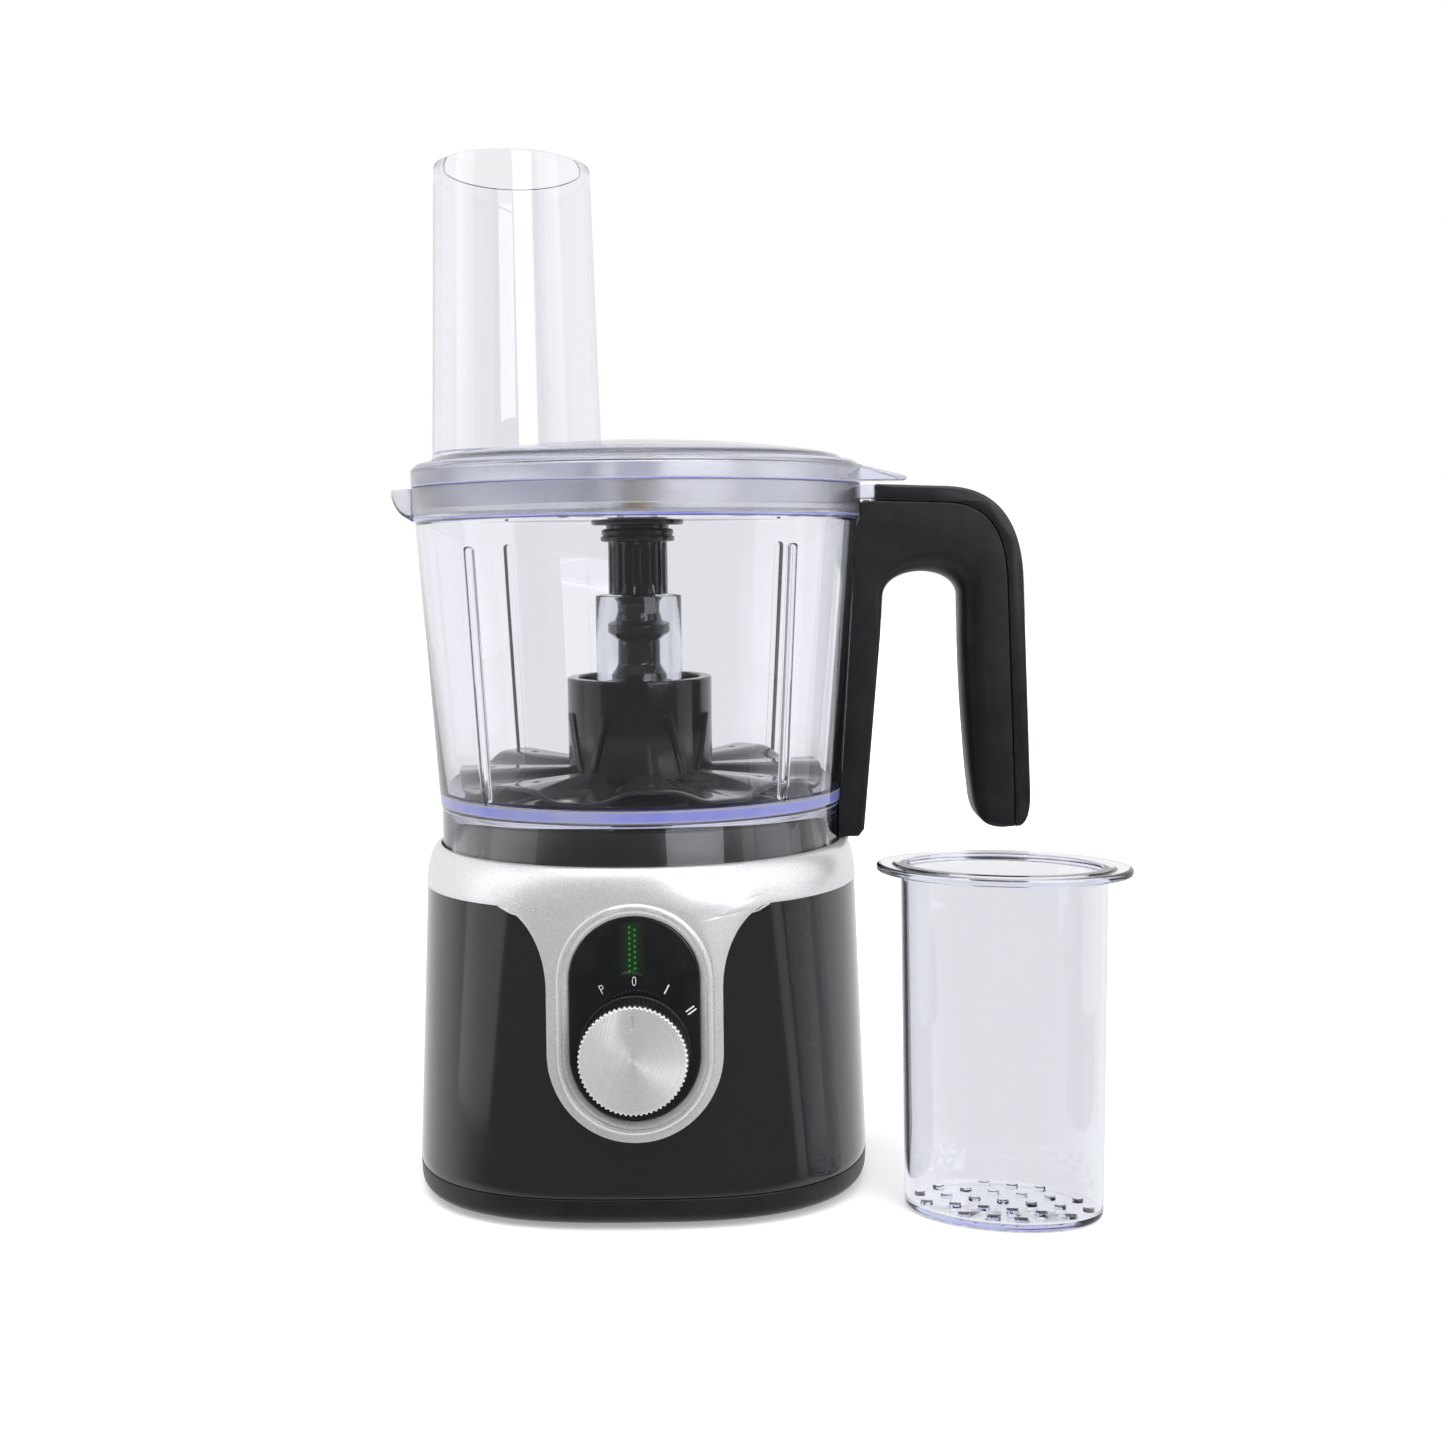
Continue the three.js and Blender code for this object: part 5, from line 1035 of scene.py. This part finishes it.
print("handle")
handle = dict(half=13, topZ=rimTop + 0.1, reach=67.7, lean=2.9, shoulder=30.3, drop=38.3, lowZ=137,
              cover=6.5, groove=0.18,
              gripWidth=28.3, archDrop=63.4, archSides=18.5, archRise=31.8, legTop=7.1, legLow=9.7,
              legLowZ=133.4)
outerX = bowl["rimRadius"] + handle["reach"]
shoulderX = outerX - handle["lean"]
curveX = shoulderX - handle["shoulder"]
top, low = handle["topZ"], handle["lowZ"]
edge = [(ear["tipX"] + 0.3, top)] + straight((ear["tipX"] + 0.3, top), (curveX, top - 1.1), 4)
edge += cubic(edge[-1], (curveX + 0.6 * handle["shoulder"], top - 2), (shoulderX - 0.7, top - 13.4),
              (shoulderX, top - 1.1 - handle["drop"]), 20)
edge += straight(edge[-1], (outerX, low + 13), 12)
innerEdge = edge + straight(edge[-1], (outerX, low), 6)
edge += quadratic(edge[-1], (outerX, low + 2), (outerX - 4.2, low), 6)


def inset(path, amount):
    moved = []
    for i, (x, z) in enumerate(path):
        before, after = path[max(0, i - 1)], path[min(len(path) - 1, i + 1)]
        along = (Vector(after) - Vector(before)).normalized()
        moved.append((x + along.y * amount, z - along.x * amount))
    return moved


coverOutline = edge + inset(innerEdge, handle["cover"] - handle["groove"])[::-1]
radii = [0.8 + 0.5 * min(1, max(0, z - low - 3) / 10) for x, z in edge] + [0.4] * len(innerEdge)
strip = roundedSlab(coverOutline, handle["half"] - 0.15, radii, 4)
finish("handle_strip", strip, coverBlack, "bowl", ["handle_cover"], 30)

archZ = top - handle["archDrop"]
gripX = outerX - handle["gripWidth"]
legX = bowl["rimRadius"] + handle["legTop"]
legLowX = bowl["footRadius"] + handle["legLow"]
legLowZ = handle["legLowZ"]
outline = inset(innerEdge, handle["cover"] + handle["groove"])
radii = [0.5] * len(outline)
piece = cubic(outline[-1], (outerX - 15, low - 1.5), (gripX + 6, low - 1), (gripX + 4.6, low + 14), 14)
outline += piece
radii += [1.2 + 4.8 * (k + 1) / len(piece) for k in range(len(piece))]
piece = quadratic(outline[-1], (gripX + 1.1, (low + archZ) / 2), (gripX, archZ), 12)
outline += piece
radii += [6 + 4 * min(1, (k + 1) / 5) for k in range(len(piece))]
sidesZ, riseZ = archZ + handle["archSides"], archZ + handle["archRise"]
piece = straight(outline[-1], (gripX - 0.2, sidesZ), 6)
piece += cubic(piece[-1], (gripX - 0.4, riseZ), (legX + 2, riseZ), (legX + 1, sidesZ), 26)
piece += straight(piece[-1], (legX, archZ + 3), 5)
outline += piece
radii += [10 - 8.4 * max(0, (k - 14) / (len(piece) - 15)) ** 0.8 if k > 14 else 10
          for k in range(len(piece))]
piece = straight(outline[-1], (legLowX, legLowZ + 3), 8) + [(legLowX - 2.3, legLowZ),
                                                            (bowl["footRadius"] - 3, legLowZ),
                                                           (wallAt(232) - 5, 240),
                                                            (bowl["rimRadius"] - 4.5, rimTop - 7)]
outline += piece
radii += [1.6] * len(piece)
grip = roundedSlab(outline, handle["half"], radii, 7)
foot, rim, wallEnd = bowl["footRadius"] + 0.4, bowl["rimRadius"] + 0.4, bowl["wallTopZ"] - 2
room = [(0, 100), (foot, 100), (foot, floorUnder - 1.4), (wallAt(floorUnder) + 0.4, floorUnder),
        (wallAt(wallEnd) + 0.4, wallEnd), (rim, bowl["rimZ"] - 1), (rim, rimTop + 20), (0, rimTop + 20)]
grip = cut(grip, solidOf(room, 128))
for side in (-1, 1):
    half = rails["width"] / 2 + rails["slack"]
    way = slab(railOutline(3, rails["slack"]), -half, half)
    grip = cut(grip, place(way, shiftBy(0, side * rails["spacing"], 0)))
earWay = fillet(corners(60, ear["lowZ"] - 0.4, ear["tipX"] + 0.3, rimTop + 5))
grip = cut(grip, slab(earWay, -ear["half"] - 0.4, ear["half"] + 0.4))
lean = math.atan2((rodHigh.x - rodLow.x) - 3, rodHigh.z - rodLow.z)
bore = solidOf([(0, -20), (2, -20), (2, 108), (3.9, 108), (3.9, 160), (0, 160)], 40)
grip = cut(grip, place(bore, shiftBy(bowl["footRadius"] + 2.1, 0, 133.7) @ Matrix.Rotation(lean, 4, "Y")))
finish("handle_grip", grip, satinBlack, "bowl", ["handle_body"], 38)

print("lid")
lidLow, lidHigh = boxOf("lid")
lid = dict(steps=192, radius=90.5, skirtZ=rimTop + 0.3, shoulderZ=rimTop + 9.5, topZ=rimTop + 18.7,
           wall=2.5, spigotRadius=87.3,
           spigotWall=2, spigotZ=rimTop - 8.3, bossRadius=8.5, bushWay=6.6, pinTop=rimTop + 4.7,
           finX=lidHigh.x, finHalf=9)
top, wall = lid["topZ"], lid["wall"]
dome = [(82.6, lid["shoulderZ"] + 1.5), (81.8, lid["shoulderZ"] + 2.3), (76, top - 5.5), (69.7, top - 4.5),
        (49.8, top - 2.3), (34, top - 1.1), (19.9, top - 0.4), (9, top - 0.08)]
domeUnder = [(r, z - wall) for r, z in reversed(dome[2:])]
bossZ = boxOf("lid_bush")[0].z
profile = fillet([
    (lid["radius"], lid["skirtZ"], 0.4), (lid["radius"], lid["shoulderZ"] - 2.2, 1.2),
                  (lid["radius"] - 2.2, lid["shoulderZ"] - 0.1, 1.2),
    (dome[0][0] + 0.8, dome[0][1] - 0.9, 0.5), *dome, (0, top)] + [(0, lid["pinTop"] + 2),
        (lid["bushWay"], lid["pinTop"] + 2), (lid["bushWay"], bossZ, 0.3), (lid["bossRadius"], bossZ, 0.4),
        (lid["bossRadius"], top - wall - 0.1, 0.8),
    *domeUnder, (81, lid["shoulderZ"] - 1.0, 0.8), (lid["spigotRadius"] - lid["spigotWall"],
                                                    lid["shoulderZ"] - 3, 1),
    (lid["spigotRadius"] - lid["spigotWall"], lid["spigotZ"], 0.4),
    (lid["spigotRadius"], lid["spigotZ"], 0.4), (lid["spigotRadius"], lid["skirtZ"], 0.3)], True, 4)
cap = revolve(profile, lid["steps"])

chute = dict(x=-48, topHalf=30.95, lowHalf=33.95, stretch=11.55, taperZ=rimTop + 12.7, lowZ=rimTop - 5.7,
             wall=2.2)
chuteTop = lidHigh.z


def chuteForm(shrink, over):
    rows = 18
    line = [(chute["lowHalf"] - shrink, chute["lowZ"] - over), (chute["lowHalf"] - shrink, chute["taperZ"])]
    if shrink == 0:
        line = [(chute["lowHalf"] - 0.4, chute["lowZ"]), (chute["lowHalf"], chute["lowZ"] + 0.4),
                (chute["lowHalf"], chute["taperZ"])]
    rise = chuteTop - chute["taperZ"]
    first, last = chute["lowHalf"] - shrink, chute["topHalf"] - shrink
    line += [(first + (last - first) * k / rows, chute["taperZ"] + rise * k / rows) for k in range(1, rows)]
    if shrink == 0:
        line += [(last, chuteTop - 0.7), (last - 0.2, chuteTop - 0.2), (last - 0.7, chuteTop)]
    else:
        line += [(last, chuteTop - 0.6), (last + 0.5, chuteTop + over)]
    form = revolve([(0, line[0][1])] + line + [(0, line[-1][1])], 144, False)
    return place(oval(form, chute["stretch"]), shiftBy(chute["x"], 0, 0))


cap = add(cap, chuteForm(0, 0))
fin = roundedSlab([(lid["radius"] - 2, rimTop + 1.9), (lid["finX"] - 0.6, rimTop + 1.9),
                   (lid["finX"], rimTop + 2.5), (lid["finX"] - 0.5, rimTop + 3.3),
                   (lid["radius"] - 2, lid["shoulderZ"] - 1.0)],
                  lid["finHalf"], [0.5] * 5, 3)
cap = add(cap, fin)
cap = cut(cap, chuteForm(chute["wall"], 5))
finish("clear_lid", cap, clearLid, "lid", ["lid"])

print("tools")
spindleLow, spindleHigh = boxOf("drive_spindle")
sleeveLow, sleeveHigh = boxOf("spindle_sleeve")
sleeveTop = sleeveHigh.z
profile = fillet([(9.4, spindleLow.z, 0.4), (12.6, spindleLow.z, 0.4), (12.6, 168), (9.5, 172), (9.5, 179),
                  (16, 181, 0.5), (16, 184, 0.5), (12.7, 184),
                  (12.7, 192, 0.5), (11.3, 196), (11.3, 198.4, 0.6), (8.6, 202.6, 2), (8.6, 212, 0.5),
                  (12.7, 215, 0.6), (12.7, 218.3, 0.6), (9.6, 219.4, 1.2), (8.5, 223, 2),
                  (8.8, 226.5, 2), (11.2, 229.4, 0.8), (11.2, sleeveTop - 0.3, 0.3), (7, sleeveTop - 0.3),
                  (7, 264), (4, 264), (4, spindleHigh.z, 0.6), (0, spindleHigh.z),
                  (0, 160), (9.4, 160)], True, 4)
stem = revolve(profile, 72)
key = roundedSlab([(-15, 183), (15, 183), (15, 190), (-15, 190)], 2.5, [0.5] * 4, 2)
finish("tool_spindle", join(stem, key), toolBlack, "tools", ["drive_spindle"])

sleeve = revolve(fillet([(16, sleeveLow.z, 0.3), (17.5, sleeveLow.z, 0.3), (17.5, sleeveTop, 0.5),
                         (16, sleeveTop, 0.5)]), 96)
finish("clear_sleeve", sleeve, clearSleeve, "tools", ["spindle_sleeve"])

# wavy disc with the hub cup
wave = dict(count=8, turn=6, hole=26.6, radius=74.6, outer=3.2, inner=2.4, z=158.2, thickness=1.6,
            pitRadius=62)
cup = dict(radius=29.5, mouth=25, topZ=boxOf("emulsifying_disc")[1].z, lowZ=157)
rings = 16
across = wave["radius"] - wave["hole"]
disc = revolve([(wave["hole"] + across * k / rings, wave["z"]) for k in range(rings + 1)], 256, False)
crest = math.radians(-90 + wave["turn"])
for v in disc.verts:
    radius, angle = math.hypot(*v.co.xy), math.atan2(v.co.y, v.co.x) - crest
    share = (radius - wave["hole"]) / across
    swing = math.cos(wave["count"] * angle)
    height = wave["inner"] + (wave["outer"] - wave["inner"]) * share
    v.co.z += height * (swing * 0.86 - 0.14 * math.cos(3 * wave["count"] * angle))
for k in range(wave["count"]):
    angle = crest + turn * k / wave["count"]
    spot = Vector((wave["pitRadius"] * math.cos(angle), wave["pitRadius"] * math.sin(angle)))
    pit = min(disc.faces, key=lambda f: (f.calc_center_median().xy - spot).length)
    bmesh.ops.delete(disc, geom=[pit], context="FACES_ONLY")
up = max(disc.faces, key=lambda f: abs(f.normal.z))
if up.normal.z < 0:
    bmesh.ops.reverse_faces(disc, faces=disc.faces[:])
disc = withModifiers(disc, ("SOLIDIFY", {"thickness": wave["thickness"], "offset": -1}),
                     ("BEVEL", {"width": 0.4, **edgesOnly}))
hub = revolve(fillet([(26.5, cup["lowZ"], 0.4), (cup["radius"], cup["lowZ"], 0.4),
                      (cup["radius"], cup["topZ"], 1.0), (cup["mouth"], cup["topZ"], 0.8),
                      (cup["mouth"], 187.4, 1), (16.4, 187.4, 0.4), (16.4, 184.4, 0.4), (26.5, 184.4, 1)]),
              144)
# slanted buttress ribs round the lower half of the cup
buttress = dict(turns=4, topZ=183, lowZ=160, width=3.2, depth=1.4, topAngle=24, lowAngle=37)
ribs = []
for k in range(buttress["turns"]):
    for side in (-1, 1):
        half = buttress["width"] / 2
        bar = roundedSlab(fillet(corners(-half, buttress["lowZ"], half, buttress["topZ"])),
                          buttress["depth"],
                          [0.4] * 4, 2)
        bmesh.ops.bisect_plane(bar, geom=bar.verts[:] + bar.edges[:] + bar.faces[:], plane_co=(0, 0, 172),
                               plane_no=(0, 0, 1))
        for v in bar.verts:
            share = (v.co.z - buttress["lowZ"]) / (buttress["topZ"] - buttress["lowZ"])
            away = buttress["lowAngle"] + (buttress["topAngle"] - buttress["lowAngle"]) * share
            angle = math.radians(-90 + 90 * k + side * away) + v.co.x / cup["radius"]
            radius = cup["radius"] - v.co.y
            v.co.x, v.co.y = radius * math.cos(angle), radius * math.sin(angle)
        bmesh.ops.recalc_face_normals(bar, faces=bar.faces[:])
        ribs.append(bar)
finish("wavy_disc", disc, smoky, "tools", ["emulsifying_disc"], 40)
finish("hub_cup", hub, cupBlack, "tools")
finish("cup_ribs", join(*ribs), toolBlack, "tools")

# fluted carrier above the sleeve
carrier = dict(low=sleeveTop + 0.3, radius=12.1, flutes=12, fluteDepth=0.7, ringZ=252.7, ringHigh=257.9,
               ringRadius=15.1,
               neck=12.8, flangeZ=259.5, flange=18.8)
cutLow, cutHigh = boxOf("slicing_disc")
rows = [(carrier["radius"], carrier["low"] + 0.4 + (carrier["ringZ"] - carrier["low"] - 1.6) * k / 8)
        for k in range(9)]
profile = [(7.3, carrier["low"]), (carrier["radius"] - 0.4, carrier["low"])] + rows + fillet([
    (carrier["radius"], carrier["ringZ"]), (carrier["ringRadius"], carrier["ringZ"], 1.2),
    (carrier["ringRadius"], 254.9, 0.6), (carrier["ringRadius"] - 1.2, 255.3, 0.4),
    (carrier["ringRadius"] - 0.4, 255.8, 0.4), (carrier["ringRadius"] - 0.4, carrier["ringHigh"], 1.2),
    (carrier["neck"], carrier["ringHigh"] + 0.3), (carrier["neck"], carrier["flangeZ"]),
    (carrier["flange"], carrier["flangeZ"], 1.2), (carrier["flange"], cutLow.z - 0.3, 0.3),
    (10, cutLow.z - 0.3), (10, cutHigh.z + 3), (7.3, cutHigh.z + 3)], False, 4)
holder = revolve(profile, 144)
for v in holder.verts:
    radius = math.hypot(*v.co.xy)
    if carrier["low"] + 0.5 < v.co.z < carrier["ringZ"] - 1 and radius > 10:
        dip = carrier["fluteDepth"] * max(0,
                                          math.cos(carrier["flutes"] * math.atan2(v.co.y, v.co.x))) ** 0.5
        pullIn(v, dip)
finish("disc_holder", holder, toolBlack, "tools", ["disc_carrier"])
low, high = boxOf("disc_clamp")
profile = fillet([(10.3, low.z, 0.3), (18.8, low.z, 0.3), (18.8, high.z, 1), (10.3, high.z, 0.3)])
nut = revolve(profile, 144)
for v in nut.verts:
    radius = math.hypot(*v.co.xy)
    if radius > 17:
        dip = 0.7 * max(0, math.cos(18 * math.atan2(v.co.y, v.co.x))) ** 2
        pullIn(v, dip)
finish("clamp_nut", nut, toolBlack, "tools", ["disc_clamp"])

# slicing disc with its slot and blade
blade = dict(inner=24, outer=75, slotWidth=9)
discRadius = cutHigh.x
cutter = revolve(fillet([(10.3, cutLow.z, 0.2), (discRadius - 3, cutLow.z), (discRadius, cutLow.z, 0.3),
                         (discRadius, cutHigh.z, 0.3), (30, cutHigh.z), (10.3, cutHigh.z, 0.2)]), 192)
slot = fillet(corners(blade["inner"] + 2, cutLow.z - 1, blade["outer"] - 2, cutHigh.z + 1))
cutter = cut(cutter, slab(slot, -blade["slotWidth"], 0))
finish("cutting_disc", cutter, steel, "tools", ["slicing_disc"])
low, high = boxOf("slicing_blade")
knife = prism(fillet(corners(low.x, low.y, high.x, high.y)), low.z, high.z)
sharp = [e for e in knife.edges if all(v.co.y < low.y + 0.1 and v.co.z > high.z - 0.1 for v in e.verts)]
bmesh.ops.bevel(knife, geom=sharp, offset=0.7, segments=1, profile=0.5, affect="EDGES", material=-1)
finish("cutting_blade", knife, steel, "tools", ["slicing_blade"])

print("pusher")
pusherLow, pusherHigh = boxOf("pusher")
pusher = dict(topHalf=27.5, lowHalf=26.4, stretch=11.55, wall=2.2, floor=2.6, flange=9.2, flangeThickness=3,
              turn=-19, x=138.6, y=-70,
              nub=2.4, nubHeight=1.6, nubPitch=10.8)
low, high = pusherLow.z, pusherHigh.z
rows = 14
widening, rise = pusher["topHalf"] - pusher["lowHalf"], high - pusher["flangeThickness"] - low - 3
side = [(pusher["lowHalf"] + widening * k / rows, low + 3 + rise * k / rows) for k in range(rows)]
inner = [(r - pusher["wall"], z) for r, z in reversed(side)]
profile = fillet([(0, low), (pusher["lowHalf"] - 0.1, low, 2.4)] + side[1:] + [
    (pusher["topHalf"], high - pusher["flangeThickness"], 0.8),
    (pusher["topHalf"] + pusher["flange"], high - pusher["flangeThickness"], 1.0),
    (pusher["topHalf"] + pusher["flange"], high - 0.4, 1.0), (pusher["topHalf"] + pusher["flange"] - 1.6,
                                                              high - 0.1, 0.5),
    (pusher["topHalf"] + 3.2, high - 0.7, 0.4),
    (pusher["topHalf"] + 2.4, high, 0.4), (pusher["topHalf"] - pusher["wall"], high, 0.6)] + inner[:-1]
                 + [(pusher["lowHalf"] - pusher["wall"], low + pusher["floor"], 1.5),
                    (0, low + pusher["floor"])], False, 4)
tumbler = oval(revolve(profile, 160, False), pusher["stretch"], True)
nubs = []
nubTop = low + pusher["floor"] + pusher["nubHeight"]
for row in range(-2, 3):
    for column in range(-3, 4):
        x, y = (column + (0.5 if row % 2 else 0)) * pusher["nubPitch"], row * pusher["nubPitch"] * 0.87
        if math.hypot(max(0, abs(x) - pusher["stretch"]), y) < pusher["lowHalf"] - 5.2:
            nub = solidOf([(0, low + 1.5), (pusher["nub"], low + 1.5), (pusher["nub"] - 0.2, nubTop, 0.6),
                           (0, nubTop)],
                          20, 3)
            nubs.append(place(nub, shiftBy(x, y, 0)))
tumbler = add(tumbler, join(*nubs))
place(tumbler, shiftBy(pusher["x"], pusher["y"], 0) @ turnBy(pusher["turn"], "Z"))
finish("clear_pusher", tumbler, clearPusher, "pusher", ["pusher"])

print("stage")
room = dict(size=14, floorWhite=(0.9, 0.9, 0.905), backWhite=1.0)
floor = bmesh.new()
bmesh.ops.create_grid(floor, x_segments=8, y_segments=8, size=room["size"] / 2)
place(floor, shiftBy(0, 0, -0.0021))
mesh = bpy.data.meshes.new("floor")
floor.to_mesh(mesh)
floor.free()
ground = bpy.data.objects.new("floor", mesh)
bpy.context.scene.collection.objects.link(ground)
paper, tree, shader = newMaterial("palePaper", room["floorWhite"], 0.9,
                                  {"Specular IOR Level": 0.1, "Emission Color": (1, 1, 1, 1)})
depthBehind = axisValues(tree, coordinates(tree))[1]
tree.links.new(spread(tree, depthBehind, 0.0, 0.9, 0.3, 1.0), shader.inputs["Emission Strength"])
mesh.materials.append(paper)
ground.visible_glossy = False  # keeps the pale floor out of the black gloss
ground.visible_transmission = False  # and out of what is seen through the clear parts

world = bpy.data.worlds.new("studio")
bpy.context.scene.world = world
world.use_nodes = True
tree = world.node_tree
background = tree.nodes["Background"]
direction = tree.nodes.new("ShaderNodeTexCoord")
split = tree.nodes.new("ShaderNodeSeparateXYZ")
tree.links.new(direction.outputs["Generated"], split.inputs["Vector"])
raised = calculate(tree, "MULTIPLY", calculate(tree, "ABSOLUTE", split.outputs["Z"]), 1.6)
behind = spread(tree, calculate(tree, "ADD", split.outputs["Y"], raised), -0.22, 0.6, 0.18, 0.97, True)
seen = tree.nodes.new("ShaderNodeLightPath")
strength = tree.nodes.new("ShaderNodeMix")
tree.links.new(seen.outputs["Is Camera Ray"], strength.inputs[0])
tree.links.new(behind, strength.inputs[2])
strength.inputs[3].default_value = room["backWhite"]
tree.links.new(strength.outputs[0], background.inputs["Strength"])
background.inputs["Color"].default_value = (1, 1, 1, 1)


def softLight(name, position, target, width, height, power):
    light = bpy.data.lights.new(name, "AREA")
    light.shape = "RECTANGLE"
    light.size, light.size_y, light.energy = width, height, power
    lamp = bpy.data.objects.new(name, light)
    lamp.location = position
    lamp.rotation_euler = (Vector(target) - Vector(position)).to_track_quat("-Z", "Y").to_euler()
    bpy.context.scene.collection.objects.link(lamp)


softLight("leftSoftbox", (-1.4, -0.3, 0.55), (0, 0, 0.18), 0.9, 1.6, 3.2)
softLight("rightSoftbox", (1.4, -0.25, 0.5), (0, 0, 0.18), 0.9, 1.6, 2.6)
softLight("topSoftbox", (0, -0.5, 1.5), (0, 0, 0.15), 1.4, 1.0, 11)
softLight("frontSoftbox", (0.95, -1.45, 0.9), (0, 0, 0.12), 1.1, 1.2, 13)

cameraData = bpy.data.cameras.new("camera")
cameraData.lens = 47.76
cameraData.sensor_width = 36
cameraData.clip_start = 0.01
camera = bpy.data.objects.new("camera", cameraData)
pitch, roll = math.radians(4.875), math.radians(-0.644)
forward = Vector((0, math.cos(pitch), -math.sin(pitch)))
upward = Vector((0, math.sin(pitch), math.cos(pitch)))
sideways = Vector((1, 0, 0))
rightAxis = sideways * math.cos(roll) + upward * math.sin(roll)
upAxis = -sideways * math.sin(roll) + upward * math.cos(roll)
camera.matrix_world = shiftBy(0.0337, -0.783,
                              0.2462) @ Matrix((rightAxis, upAxis, -forward)).transposed().to_4x4()
bpy.context.scene.collection.objects.link(camera)
bpy.context.scene.camera = camera
bpy.context.scene.view_settings.view_transform = "Standard"
bpy.context.scene.cycles.transmission_bounces = 20
bpy.context.scene.cycles.max_bounces = 20
bpy.context.scene.cycles.transparent_max_bounces = 16
